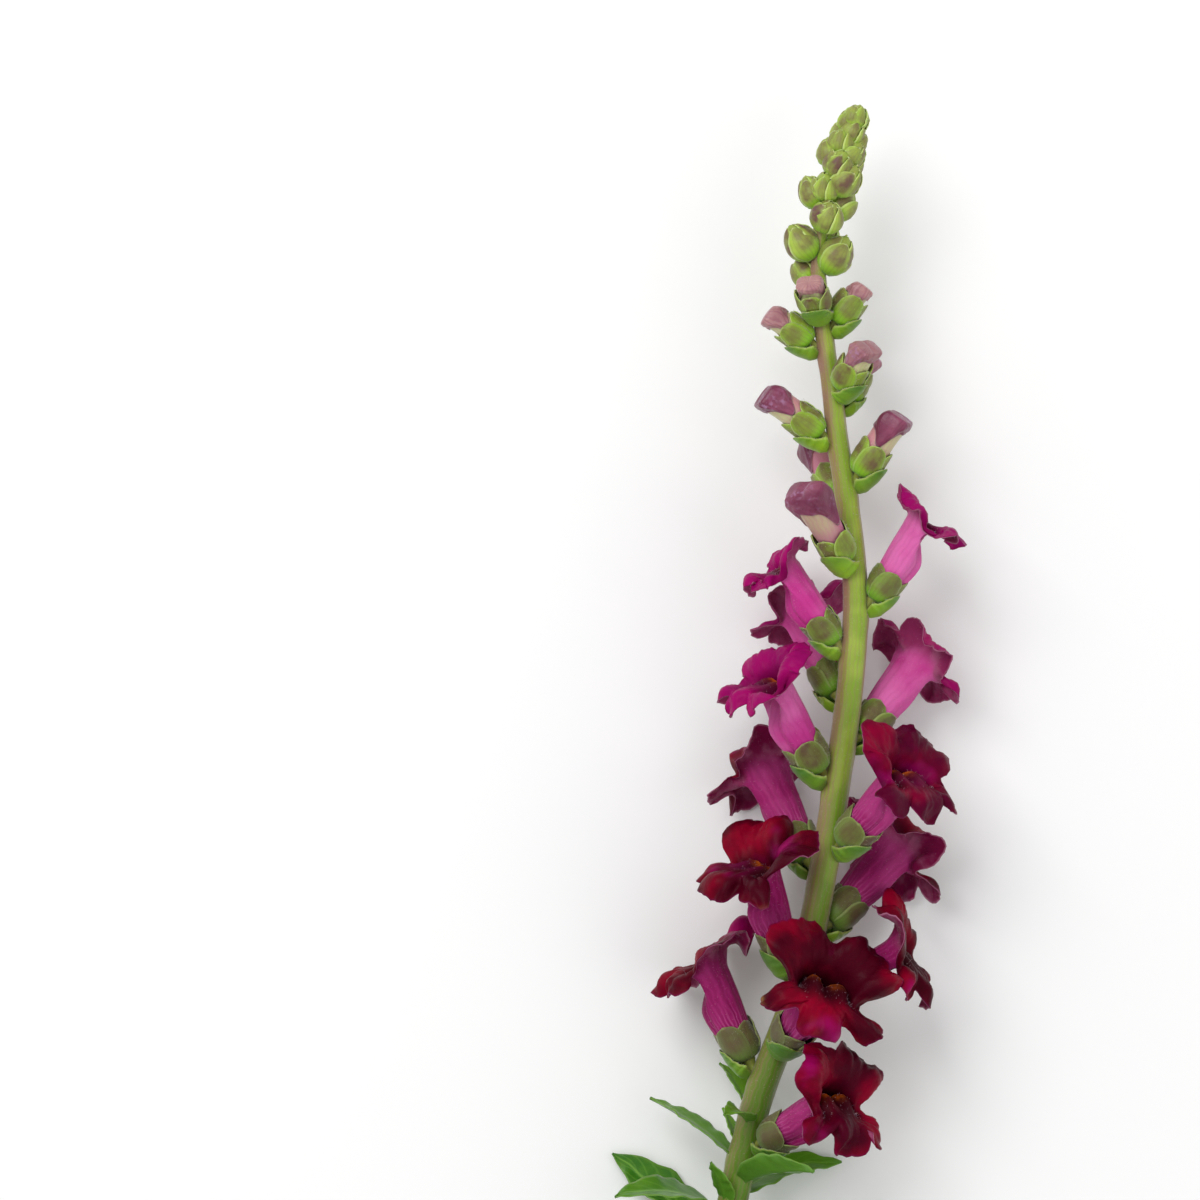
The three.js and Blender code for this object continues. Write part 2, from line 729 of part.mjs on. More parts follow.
function leafyStem(bloomFrames, budFrames) {
  const parts = [
    ...bloomFrames.map((growth, i) => pedicel(growth, BLOOMS[i].size)),
    ...budFrames.map((growth, i) => pedicel(growth, BUDS[i].size)),
    ...bloomFrames.map((growth, i) => bract(growth, BLOOMS[i].size, BLOOMS[i].size)),
    ...budFrames.map((growth, i) => bract(growth, ...budCalyx(BUDS[i]))),
    ...GREEN_BUDS.map((bud) => greenBud(bud, 10, 3)),
    ...crown(),
    ...leaves(),
  ];
  return onTable(parts.reduce((whole, part) => whole.add(part), stemAxis()));
}

function meshOf(name, solid, look) {
  const { numProp, vertProperties, triVerts } = solid.getMesh();
  const positions = new Float32Array((vertProperties.length / numProp) * 3);
  for (let i = 0; i < positions.length / 3; i += 1) {
    positions.set(vertProperties.subarray(i * numProp, i * numProp + 3), i * 3);
  }
  const geometry = new THREE.BufferGeometry();
  geometry.setAttribute("position", new THREE.BufferAttribute(positions, 3));
  geometry.setIndex(new THREE.BufferAttribute(new Uint32Array(triVerts), 1));
  const mesh = new THREE.Mesh(geometry, new THREE.MeshStandardMaterial(look));
  mesh.name = name;
  return mesh;
}

const LOOKS = {
  stem: { color: 0x6f9a35, roughness: 0.6, metalness: 0 },
  calyx: { color: 0x6b7a45, roughness: 0.7, metalness: 0 },
  petals: { color: 0x6d0a26, roughness: 0.65, metalness: 0 },
  budPetals: { color: 0x9a4f78, roughness: 0.6, metalness: 0 },
};

const numbered = (kind, i) => `${kind}_${String(i + 1).padStart(2, "0")}`;

const plant = new THREE.Group();
const bloomFrames = BLOOMS.map((bloom) => growthFrame(bloom, BLOOM_STALK * bloom.size));
const budFrames = BUDS.map((bud) => growthFrame(bud, BUD_STALK.least + BUD_STALK.growth * bud.size));

plant.add(meshOf("leafy_stem", leafyStem(bloomFrames, budFrames), LOOKS.stem));

BLOOMS.forEach((bloom, i) => {
  const growth = bloomFrames[i];
  const floor = bloom.rests ? REST_FLOOR : LEAF_FLOOR;
  const name = numbered("bloom", i);
  plant.add(meshOf(`${name}_calyx`, onTable(calyx(growth, bloom.size, bloom.size)), LOOKS.calyx));
  plant.add(meshOf(`${name}_corolla`, onTable(corolla(growth, bloom, floor)), LOOKS.petals));
});

BUDS.forEach((bud, i) => {
  const growth = budFrames[i];
  const name = numbered("bud", i);
  plant.add(meshOf(`${name}_calyx`, calyx(growth, ...budCalyx(bud)), LOOKS.calyx));
  plant.add(meshOf(`${name}_petals`, furledPetals(growth, bud.size), LOOKS.budPetals));
});

// The part's own frame has its origin under the middle of the whole, on the table.
const extent = new THREE.Box3().setFromObject(plant);
const middle = extent.getCenter(new THREE.Vector3());
plant.position.set(-middle.x, -middle.y, 0);

export default plant;
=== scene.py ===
"""A cut snapdragon stem lying on a table, dressed around its CAD frame.

Shapes are worked out in the plant's own frame, in millimetres: +Y runs along the stem to its tip, +Z is up
from the table. "Station" is a place along Y. "Azimuth" goes round the stem: 0 is up, 90 is +X, 180 is down.
"""

from __future__ import annotations

import json
import logging
import math
from dataclasses import dataclass, field
from enum import Enum
from typing import Callable, Sequence, Union

import bpy
import numpy as np
from numpy.typing import NDArray
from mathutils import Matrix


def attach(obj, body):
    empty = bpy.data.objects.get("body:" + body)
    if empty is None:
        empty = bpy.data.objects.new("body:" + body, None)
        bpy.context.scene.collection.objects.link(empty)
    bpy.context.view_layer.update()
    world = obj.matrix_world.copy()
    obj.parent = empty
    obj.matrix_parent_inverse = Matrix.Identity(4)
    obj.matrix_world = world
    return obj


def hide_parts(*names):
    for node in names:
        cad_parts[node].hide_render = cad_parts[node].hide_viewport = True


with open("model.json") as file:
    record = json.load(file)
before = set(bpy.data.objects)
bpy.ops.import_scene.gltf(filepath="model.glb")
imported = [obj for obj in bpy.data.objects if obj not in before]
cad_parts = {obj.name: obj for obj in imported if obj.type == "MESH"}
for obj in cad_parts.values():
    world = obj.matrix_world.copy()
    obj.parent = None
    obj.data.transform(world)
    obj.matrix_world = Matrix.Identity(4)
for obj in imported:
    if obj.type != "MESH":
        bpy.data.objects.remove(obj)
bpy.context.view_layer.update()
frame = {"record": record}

Points = NDArray[np.float64]
Order = NDArray[np.int64]
Number = Union[Points, float]
Values = dict[str, Number]
Colour = tuple[float, float, float]
Socket = bpy.types.NodeSocket
Feed = Union[Socket, Colour, float, str]  # what goes into a socket; a string names a value of the mesh
Build = Callable[["Tissue"], None]

LOG = logging.getLogger("snapdragon")
MM = 0.001
DEG = math.pi / 180
UP = np.array([0.0, 0.0, 1.0])

# The rest mount lies on the flat under the cut end, at this place in the plant's frame.
REST_SPOT = np.array([-26.0, -187.0, 0.0])
SHIFT = np.array(frame["record"]["mounts"][0]["pos_m"]) / MM - REST_SPOT

# ---- driving dimensions ----

# They are the same as the CAD model's, except that the youngest buds are a little slimmer here and that
# bracts, calyces and furled petals have finer outlines.

CUT_END = -190.0
STEM_TIP = 261.0

# Station, then the stem axis sideways (x) and above the table (z).
STEM_AXIS = [
    [-190, -26, 3.3],
    [-110, -27, 7],
    [-40, -23, 12.5],
    [20, -11, 19],
    [52, 0, 22],
    [96, 8.2, 25],
    [144, 13.2, 27],
    [192, 7.7, 28],
    [228, 4.4, 29],
    [262, 13.6, 31],
]

# Station, then the stem radius.
STEM_RADIUS = [
    [-190, 3.9],
    [0, 3.6],
    [52, 3.5],
    [144, 3.0],
    [192, 2.4],
    [216, 1.9],
    [240, 1.3],
    [262, 0.6],
]

SHEET = 0.7  # petals, sepals and leaves of the CAD model
SEAT_GAP = 0.3  # between a calyx and what it sits on or holds
LEAF_FLOOR = 0.75  # lowest middle surface of tissue that is bent clear of the table
REST_FLOOR = 0.3  # the same for the two blooms that carry the spire
FLOOR_SOFTNESS = 3.2  # height above the table at which tissue starts to bend
HAIR_FLOOR = 0.05  # lowest tip of a hair


class Layer(Enum):
    """How far from the stem's skin a tissue keeps."""

    CALYX = 1
    PETALS = 2


@dataclass(frozen=True)
class Grown:
    """What grows from the stem: its station, its azimuth and its angle from the stem, in degrees."""

    station: float
    azimuth: float
    lean: float


@dataclass(frozen=True)
class Bloom(Grown):
    """An open or opening flower: openness from 0 to 1, scale, and whether it carries the spire on the table."""

    open: float
    size: float
    rests: bool = False


@dataclass(frozen=True)
class Bud(Grown):
    """A coloured bud. A size of 1 is 20 mm from calyx to cap."""

    size: float


@dataclass(frozen=True)
class GreenBud(Grown):
    """A closed bud, wrapped in its sepals."""

    width: float
    length: float


BLOOMS = [
    Bloom(142.5, 85, 36, 0.25, 0.88),
    Bloom(132, -86, 43, 0.2, 0.88),
    Bloom(119.3, -142, 44, 0.45, 0.92),
    Bloom(110, 130, 42, 0.6, 0.95),
    Bloom(101, -70, 43, 0.5, 1.02),
    Bloom(85, 48, 42, 0.85, 1),
    Bloom(79, -134, 48, 0.9, 1, rests=True),
    Bloom(65, 136, 46, 0.9, 1, rests=True),
    Bloom(55, -62, 37, 1, 1.03),
    Bloom(47, 82, 44, 1, 0.98),
    Bloom(37.5, 11, 46, 1, 1.03),
    Bloom(30, -98, 48, 1, 1),
    Bloom(14, 48, 52, 0.9, 0.98),
]
BLOOM_STALK = 3.4

BUDS = [
    Bud(212.5, -14, 46, 0.44),
    Bud(209, 88, 45, 0.48),
    Bud(205, -90, 46, 0.55),
    Bud(193.5, 45, 46, 0.58),
    Bud(190.5, 132, 44, 0.6),
    Bud(183, -80, 46, 0.75),
    Bud(172, 75, 42, 0.77),
    Bud(167, -162, 40, 0.85),
    Bud(152.5, -33, 42, 1.06),
]
BUD_STALK = (1.4, 2.0)  # least, and growth with size
BUD_CALYX = (0.68, 0.34)  # the same for the length of a bud's sepals
BUD_GIRTH = (0.68, 0.26)  # and for their girth
BUD_BODY = (0.6, 0.4)  # and for the girth of the petals below the cap

GREEN_BUDS = [
    GreenBud(220, -130, 40, 6.2, 8),
    GreenBud(222.5, 78, 34, 7.8, 10.6),
    GreenBud(226, -75, 40, 8, 10),
    GreenBud(228, 165, 40, 6.8, 8.6),
    GreenBud(233, 12, 40, 7.4, 8.6),
    GreenBud(236.5, 110, 40, 6.8, 8.4),
    GreenBud(238, -92, 46, 6.8, 8.6),
    GreenBud(240, -28, 40, 6.2, 7.6),
    GreenBud(242, 42, 38, 7.2, 9.4),
    GreenBud(243.5, 170, 40, 5.8, 6.8),
]
GOLDEN_TURN = 137.5

# ---- small mathematics ----


def jitter(i: int, k: int) -> float:
    """A repeatable value from -1 to 1 for item i and channel k."""
    wave = math.sin(i * 12.9898 + k * 78.233) * 43758.5453
    return 2 * (wave - math.floor(wave)) - 1


def varied(typical: tuple[float, float], i: int, k: int) -> float:
    """A typical value that varies by up to a given amount from item to item."""
    return typical[0] + typical[1] * jitter(i, k)


def lerp(start: Number, end: Number, share: Number) -> Number:
    """The value a share of the way from start to end, for numbers or arrays."""
    return start + (end - start) * share


def smoothstep(value: Number, low: float, high: float) -> Points:
    """A smooth rise from 0 at low to 1 at high, for numbers or arrays."""
    t = np.clip((np.asarray(value, float) - low) / (high - low), 0, 1)
    return t * t * (3 - 2 * t)


def bell(value: Number, centre: float, width: float) -> Points:
    """A smooth hump of height 1 round centre."""
    return np.exp(-(((np.asarray(value, float) - centre) / width) ** 2))


def hermite(knots: Points, values: Points, at: Points) -> Points:
    """A smooth curve through values at rising knots.

    Args:
        knots: the n places where values are known.
        values: an array whose first axis has n entries.
        at: the m places to read.

    Returns:
        An array whose first axis has m entries.
    """
    last = len(knots) - 1
    before = np.maximum(np.arange(last + 1) - 1, 0)
    after = np.minimum(np.arange(last + 1) + 1, last)
    wide = (slice(None),) + (None,) * (values.ndim - 1)
    slopes = (values[after] - values[before]) / (knots[after] - knots[before])[wide]
    row = np.clip(np.searchsorted(knots, at, side="left") - 1, 0, last - 1)
    span = (knots[row + 1] - knots[row])[wide]
    t = np.clip((at - knots[row])[wide] / span, 0, 1)
    start, end = values[row], values[row + 1]
    rise = (2 * t - 3) * t * t
    bend = span * (slopes[row] * t * (1 - t) ** 2 - slopes[row + 1] * t * t * (1 - t))
    return start + (start - end) * rise + bend


def along(rows: Sequence[Sequence[float]], stations: Number) -> Points:
    """The smooth curve through rows of [station, value ...], read at stations."""
    table = np.array(rows, float)
    return hermite(table[:, 0], table[:, 1:], np.atleast_1d(np.asarray(stations, float)))


def unit(vectors: Points) -> Points:
    """The vectors of an array with a last axis of 3, each made one long."""
    length = np.linalg.norm(vectors, axis=-1, keepdims=True)
    return vectors / np.maximum(length, 1e-12)


def turned(vector: Points, axis: Points, degrees: float) -> Points:
    """The vector turned about a unit axis."""
    angle = degrees * DEG
    across = np.cross(axis, vector)
    return vector * math.cos(angle) + across * math.sin(angle) + axis * (axis @ vector) * (1 - math.cos(angle))


def turns(count: int) -> Points:
    """Angles of points that are spread evenly round an axis."""
    return 2 * math.pi * np.arange(count) / count


def settle(points: Points, floor: float) -> Points:
    """Bends what would go below the table so that it lies along it."""
    depth = FLOOR_SOFTNESS - floor
    bent = points.copy()
    low = points[..., 2] < FLOOR_SOFTNESS
    bent[..., 2][low] = floor + depth * np.exp((points[..., 2][low] - FLOOR_SOFTNESS) / depth)
    return bent


class Waves:
    """A repeatable smooth noise over two coordinates: a few sine waves of random lean and phase."""

    def __init__(self, seed: int, first: Sequence[float], second: Sequence[float]) -> None:
        """Draws the waves.

        Args:
            seed: which noise of the family.
            first: wave numbers along the first coordinate.
            second: wave numbers along the second one.
        """
        draw = np.random.default_rng(seed)
        self.first = np.array(first, float)
        self.second = np.array(second, float) * draw.choice([-1.0, 1.0], len(second))
        self.phase = draw.uniform(0, 2 * math.pi, len(first))
        self.weight = draw.uniform(0.6, 1.0, len(first)) / len(first) ** 0.5

    def at(self, first: Number, second: Number) -> Points:
        """The noise, from about -1 to 1, at two coordinates in radians."""
        total = np.zeros(np.broadcast(first, second).shape)
        for one, two, phase, weight in zip(self.first, self.second, self.phase, self.weight):
            total = total + weight * np.sin(one * first + two * second + phase)
        return total


# ---- meshes ----


def linked(name: str, data: bpy.types.ID) -> bpy.types.Object:
    """A new object with its data, linked to the scene."""
    made = bpy.data.objects.new(name, data)
    bpy.context.scene.collection.objects.link(made)
    return made


def grid_normals(grid: Points, closed: bool) -> Points:
    """Unit normals of a grid of points: up the rows crossed with along the columns."""
    up = np.empty_like(grid)
    up[1:-1] = grid[2:] - grid[:-2]
    up[0], up[-1] = grid[1] - grid[0], grid[-1] - grid[-2]
    if closed:
        across = np.roll(grid, -1, axis=1) - np.roll(grid, 1, axis=1)
    else:
        across = np.empty_like(grid)
        across[:, 1:-1] = grid[:, 2:] - grid[:, :-2]
        across[:, 0], across[:, -1] = grid[:, 1] - grid[:, 0], grid[:, -1] - grid[:, -2]
    return unit(np.cross(up, across))


@dataclass
class Tissue:
    """The surfaces of one piece: points in plant millimetres, faces, and named values at each point."""

    points: list[Points] = field(default_factory=list)
    faces: list[Order] = field(default_factory=list)
    values: list[Values] = field(default_factory=list)
    count: int = 0

    def add_points(self, points: Points, values: Values) -> Order:
        """Adds an array of points and returns their numbers in the same layout."""
        flat = points.reshape(-1, 3)
        spread = {
            name: np.broadcast_to(np.asarray(value, float), points.shape[:-1]).ravel()
            for name, value in values.items()
        }
        numbers = np.arange(self.count, self.count + len(flat)).reshape(points.shape[:-1])
        self.points.append(flat)
        self.values.append(spread)
        self.count += len(flat)
        return numbers

    def add_quads(self, *corners: Order) -> None:
        """Adds faces from their four corners in order; a three-sided one has its last corner twice."""
        self.faces.append(np.stack([corner.ravel() for corner in corners], axis=1))

    def skin(self, grid: Points, values: Values, closed: bool = True, inward: bool = False) -> Order:
        """One skin over a grid of points.

        Args:
            grid: rows by columns of points.
            values: named values, each a number or an array that fits the grid's rows by columns.
            closed: whether the last column joins the first.
            inward: whether the skin faces against the grid's normals.

        Returns:
            The points' numbers, in rows and columns.
        """
        numbers = self.add_points(grid, values)
        ring = np.concatenate([numbers, numbers[:, :1]], axis=1) if closed else numbers
        a, b = ring[:-1, :-1], ring[1:, :-1]
        c, d = ring[1:, 1:], ring[:-1, 1:]
        self.add_quads(*((a, d, c, b) if inward else (a, b, c, d)))
        return numbers

    def shell(self, grid: Points, thickness: Number, values: Values, closed: bool = False) -> None:
        """A sheet of living tissue with two skins, joined round its free edges.

        Args:
            grid: rows by columns of points of its middle surface.
            thickness: a number, or an array that fits the grid.
            values: named values; "inner" is added, 0 on the outer skin and 1 on the inner one.
            closed: whether the last column joins the first.
        """
        normals = grid_normals(grid, closed)
        half = np.broadcast_to(np.asarray(thickness, float), grid.shape[:2])[..., None] / 2
        front = self.skin(grid + normals * half, {**values, "inner": 0.0}, closed)
        back = self.skin(grid - normals * half, {**values, "inner": 1.0}, closed, inward=True)
        if closed:
            outer, inner = (np.append(skin[-1], skin[-1][0]) for skin in (front, back))
        else:
            outer, inner = self.outline(front), self.outline(back)
        self.add_quads(outer[1:], outer[:-1], inner[:-1], inner[1:])

    def close(self, ring: Points, point: Points, values: Values, ahead: bool = False) -> None:
        """Closes a ring with faces to a point behind its plane, or ahead of it."""
        pole = np.broadcast_to(point, ring.shape)
        self.skin(np.stack([ring, pole] if ahead else [pole, ring]), values)

    @staticmethod
    def outline(numbers: Order) -> Order:
        """The points round an open grid, from the end of its last column back to it."""
        return np.concatenate([numbers[-1], numbers[::-1, -1][1:], numbers[0, ::-1][1:], numbers[:, 0][1:]])

    def hairs(
        self,
        roots: Points,
        outward: Points,
        draw: np.random.Generator,
        spread: float,
        lengths: tuple[float, float],
        radius: float,
        gold: Points | float = 0.0,
    ) -> None:
        """Fine hairs as three-sided spikes that lean a little away from straight out.

        Args:
            roots: where the hairs stand.
            outward: unit vectors straight out of the skin there.
            draw: the source of random numbers.
            spread: how far they lean.
            lengths: the least and the greatest one.
            radius: half the thickness at the root.
            gold: 0 pale to 1 yellow, a number or one number a hair.
        """
        lean = draw.normal(0, spread, roots.shape)
        tips = roots + unit(outward + lean) * draw.uniform(*lengths, len(roots))[:, None]
        tips[:, 2] = np.maximum(tips[:, 2], HAIR_FLOOR)
        direction = unit(tips - roots)
        helper = np.where(np.abs(direction[:, 2:]) > 0.8, np.array([[1.0, 0.0, 0.0]]), UP)
        across = unit(np.cross(direction, helper))
        over = np.cross(direction, across)
        corners = []
        for k in range(3):
            angle = 2 * math.pi * k / 3
            corners.append(roots + radius * (across * math.cos(angle) + over * math.sin(angle)))
        colour = np.broadcast_to(np.asarray(gold, float), len(roots))
        base = self.add_points(np.stack(corners, axis=1), {"gold": colour[:, None]})
        top = self.add_points(tips, {"gold": colour})
        for k in range(3):
            self.add_quads(base[:, k], base[:, (k + 1) % 3], top, top)

    def place(self, name: str, material: bpy.types.Material) -> bpy.types.Object:
        """Makes the Blender object, in metres in the part's frame.

        Args:
            name: the piece's name.
            material: its finish.

        Returns:
            The new object, smooth shaded and linked to the scene.
        """
        mesh = bpy.data.meshes.new(name)
        points = (np.concatenate(self.points) + SHIFT) * MM
        faces = np.concatenate(self.faces)
        corners = np.where(faces[:, 2] == faces[:, 3], 3, 4)
        keep = np.ones(faces.shape, bool)
        keep[corners == 3, 3] = False
        loops = faces[keep]
        mesh.vertices.add(len(points))
        mesh.vertices.foreach_set("co", points.ravel())
        mesh.loops.add(len(loops))
        mesh.loops.foreach_set("vertex_index", loops.astype(np.int32))
        mesh.polygons.add(len(faces))
        starts = np.concatenate([[0], np.cumsum(corners)[:-1]])
        mesh.polygons.foreach_set("loop_start", starts.astype(np.int32))
        mesh.polygons.foreach_set("use_smooth", np.ones(len(faces), bool))
        mesh.update(calc_edges=True)
        mesh.validate()
        for key in sorted({name for part in self.values for name in part}):
            layer = mesh.attributes.new(key, "FLOAT", "POINT")
            column = [
                part[key] if key in part else np.zeros(len(block)) for part, block in zip(self.values, self.points)
            ]
            layer.data.foreach_set("value", np.concatenate(column).astype(np.float32))
        mesh.materials.append(material)
        return linked(name, mesh)


# ---- frames on the stem ----


@dataclass
class StemFrames:
    """The stem's axis, directions and radius at one or more stations."""

    point: Points
    tangent: Points
    right: Points
    up: Points
    radius: Points

    @classmethod
    def at(cls, stations: Number) -> StemFrames:
        """Reads the stem at a number or an array of stations."""
        stations = np.atleast_1d(np.asarray(stations, float))

        def point(where: Points) -> Points:
            """The axis at stations."""
            sideways, height = along(STEM_AXIS, where).T
            return np.stack([sideways, where, height], axis=1)

        ahead = point(np.minimum(stations + 1, STEM_TIP))
        behind = point(np.maximum(stations - 1, CUT_END))
        tangent = unit(ahead - behind)
        right = unit(np.cross(tangent, UP))
        radius = along(STEM_RADIUS, stations)[:, 0]
        return cls(point(stations), tangent, right, np.cross(right, tangent), radius)

    def radial(self, azimuth: float) -> Points:
        """Unit vectors away from the axis at an azimuth in degrees."""
        return self.up * math.cos(azimuth * DEG) + self.right * math.sin(azimuth * DEG)


def beside_stem(points: Points, layer: Layer) -> Points:
    """Lays what would run into the stem against it instead, clear of its skin."""
    flat = points.reshape(-1, 3)
    stem = StemFrames.at(np.clip(flat[:, 1], CUT_END, STEM_TIP))
    away = flat - stem.point
    away -= stem.tangent * np.sum(away * stem.tangent, axis=1, keepdims=True)
    least = stem.radius + layer.value * SEAT_GAP + (layer.value - 0.5) * SHEET
    distance = np.linalg.norm(away, axis=1)
    push = np.maximum(least - distance, 0) / np.maximum(distance, 1e-9)
    return (flat + away * push[:, None]).reshape(points.shape)


@dataclass
class Growth:
    """The frame of what grows from the stem on a short stalk, with its origin at the stalk's end."""

    origin: Points
    forward: Points
    dorsal: Points
    side: Points
    root: Points

    @classmethod
    def of(cls, item: Grown, stalk: float) -> Growth:
        """The frame of a bloom or bud whose stalk has a given length."""
        stem = StemFrames.at(item.station)
        outward = stem.radial(item.azimuth)[0]
        tangent, point = stem.tangent[0], stem.point[0]
        tilt = item.lean * DEG
        forward = tangent * math.cos(tilt) + outward * math.sin(tilt)
        dorsal = tangent * math.sin(tilt) - outward * math.cos(tilt)
        origin = point + outward * stem.radius[0] + forward * stalk
        return cls(origin, forward, dorsal, np.cross(dorsal, forward), point)

    def ring(self, radius: Number, angle: Number, ahead: Number) -> Points:
        """Points round the axis, by their angle from its dorsal side."""
        return self.place(radius * np.sin(angle), radius * np.cos(angle), ahead)

    def place(self, across: Number, above: Number, ahead: Number) -> Points:
        """Points at distances across, above and ahead."""
        across, above, ahead = np.broadcast_arrays(across, above, ahead)
        return (
            self.origin
            + across[..., None] * self.side
            + above[..., None] * self.dorsal
            + ahead[..., None] * self.forward
        )


# ---- node graphs ----


class Graph:
    """The nodes of one material or node group, wired by short calls."""

    def __init__(self, tree: bpy.types.NodeTree) -> None:
        """Takes the tree to build in."""
        self.tree = tree

    def wire(self, made: bpy.types.Node, inputs: dict) -> bpy.types.Node:
        """Sets a node's sockets.

        Args:
            made: the node.
            inputs: socket name or number to a value, a named value or another node's output.

        Returns:
            The node.
        """
        for key, value in inputs.items():
            socket = made.inputs[key]
            if isinstance(value, str):
                value = self.node("ShaderNodeAttribute", {}, attribute_name=value).outputs["Fac"]
            if isinstance(value, bpy.types.NodeSocket):
                self.tree.links.new(value, socket)
            elif isinstance(value, tuple) and len(value) == 3 and socket.type == "RGBA":
                socket.default_value = (*value, 1.0)
            else:
                socket.default_value = value
        return made

    def node(self, kind: str, inputs: dict, **settings: object) -> bpy.types.Node:
        """Adds a node.

        Args:
            kind: its Blender type name.
            inputs: socket name or number to a value, a named value or another node's output.
            **settings: the node's own properties.

        Returns:
            The node.
        """
        made = self.tree.nodes.new(kind)
        for key, value in settings.items():
            setattr(made, key, value)
        return self.wire(made, inputs)

    def maths(self, operation: str, first: Feed, second: Feed = 0.0) -> Socket:
        """The result of a sum, product or other operation on two numbers or sockets."""
        return self.node("ShaderNodeMath", {0: first, 1: second}, operation=operation).outputs[0]

    def times(self, first: Feed, second: Feed) -> Socket:
        """The product of two numbers or sockets."""
        return self.maths("MULTIPLY", first, second)

    def plus(self, first: Feed, second: Feed) -> Socket:
        """The sum of two numbers or sockets."""
        return self.maths("ADD", first, second)

    def band(self, value: Feed, low: Feed, high: Feed) -> Socket:
        """A smooth rise from 0 to 1 as the value goes from low to high."""
        inputs = {"Value": value, "From Min": low, "From Max": high}
        return self.node("ShaderNodeMapRange", inputs, interpolation_type="SMOOTHSTEP").outputs["Result"]

    def fall(self, value: Feed, low: Feed, high: Feed) -> Socket:
        """A smooth fall from 1 to 0 as the value goes from low to high."""
        return self.maths("SUBTRACT", 1.0, self.band(value, low, high))

    def mix(self, share: Feed, first: Feed, second: Feed) -> Socket:
        """The colour a share of the way from first to second."""
        return self.node("ShaderNodeMix", {0: share, 6: first, 7: second}, data_type="RGBA").outputs[2]

    def partly(self, share: Feed, weight: float, first: Feed, second: Feed) -> Socket:
        """The colour a weighted share of the way from first to second."""
        return self.mix(self.times(share, weight), first, second)

    def coats(self, ground: Feed, *coats: tuple[Feed, float, Feed]) -> Socket:
        """A ground colour with coats laid over it in order, each a mask, its weight and a colour."""
        for mask, weight, colour in coats:
            ground = self.mix(mask, ground, colour) if weight == 1 else self.partly(mask, weight, ground, colour)
        return ground

    def place(self) -> Socket:
        """Where on the piece a point lies, in metres."""
        return self.node("ShaderNodeTexCoord", {}).outputs["Object"]

    def noise(self, scale: Feed) -> Socket:
        """Noise over the piece, with a scale in waves a metre."""
        inputs = {"Vector": self.place(), "Scale": scale, "Detail": 3.0}
        return self.node("ShaderNodeTexNoise", inputs).outputs["Fac"]

    def group(self, tree: bpy.types.NodeTree, **inputs: Feed) -> Socket:
        """Places a shared group with its own values and returns its output."""
        return self.node("ShaderNodeGroup", inputs, node_tree=tree).outputs[0]

    def mottle(self, scale: float, low: float, high: float) -> Socket:
        """A mask of soft blotches."""
        return self.group(GROUPS.mottle(), Scale=scale, Low=low, High=high)

    def streaks(self, turn: Feed, count: float, wander: float, width: float) -> Socket:
        """A mask of fine lines along the surface."""
        return self.group(GROUPS.streaks(), Turn=turn, Count=count, Wander=wander, Width=width)


Fill = Callable[[Graph, dict[str, Socket]], Socket]


class SharedGroups:
    """Shader groups that several finishes use, each built once."""

    def __init__(self) -> None:
        """Starts with no group built."""
        self._made: dict[str, bpy.types.NodeTree] = {}

    def _group(self, name: str, given: dict[str, float], output: str, fill: Fill) -> bpy.types.NodeTree:
        """A group with float inputs and one float output, built at its first use.

        Args:
            name: the group's name.
            given: its inputs and their first values.
            output: its output's name.
            fill: adds the nodes between them.

        Returns:
            The group.
        """
        if name not in self._made:
            tree = bpy.data.node_groups.new(name, "ShaderNodeTree")
            for key, value in given.items():
                tree.interface.new_socket(key, in_out="INPUT", socket_type="NodeSocketFloat").default_value = value
            tree.interface.new_socket(output, in_out="OUTPUT", socket_type="NodeSocketFloat")
            graph = Graph(tree)
            entry = graph.node("NodeGroupInput", {})
            graph.node("NodeGroupOutput", {output: fill(graph, {key: entry.outputs[key] for key in given})})
            self._made[name] = tree
        return self._made[name]

    def mottle(self) -> bpy.types.NodeTree:
        """Soft blotches: noise that rises between two levels."""

        def fill(graph: Graph, given: dict[str, Socket]) -> Socket:
            """The blotches' mask."""
            return graph.band(graph.noise(given["Scale"]), given["Low"], given["High"])

        return self._group("mottle", {"Scale": 300, "Low": 0.4, "High": 0.6}, "Mask", fill)

    def streaks(self) -> bpy.types.NodeTree:
        """Fine lines that follow a coordinate and wander a little, such as veins."""

        def fill(graph: Graph, given: dict[str, Socket]) -> Socket:
            """The lines' mask."""
            drift = graph.times(graph.noise(260), given["Wander"])
            turn = graph.times(given["Turn"], given["Count"])
            wave = graph.maths("SINE", graph.times(graph.plus(turn, drift), 2 * math.pi))
            return graph.band(graph.plus(graph.times(wave, 0.5), 0.5), given["Width"], 1.0)

        return self._group("streaks", {"Turn": 0.0, "Count": 20, "Wander": 2.0, "Width": 0.5}, "Mask", fill)

    def cells(self) -> bpy.types.NodeTree:
        """The pebbled height of a skin of living cells."""

        def fill(graph: Graph, given: dict[str, Socket]) -> Socket:
            """The height."""
            fine = graph.node("ShaderNodeTexVoronoi", {"Vector": graph.place(), "Scale": given["Scale"]})
            return graph.plus(graph.times(fine.outputs["Distance"], 0.35), graph.noise(given["Coarse"]))

        return self._group("cells", {"Scale": 2600, "Coarse": 420}, "Height", fill)


GROUPS = SharedGroups()

# ---- finishes ----


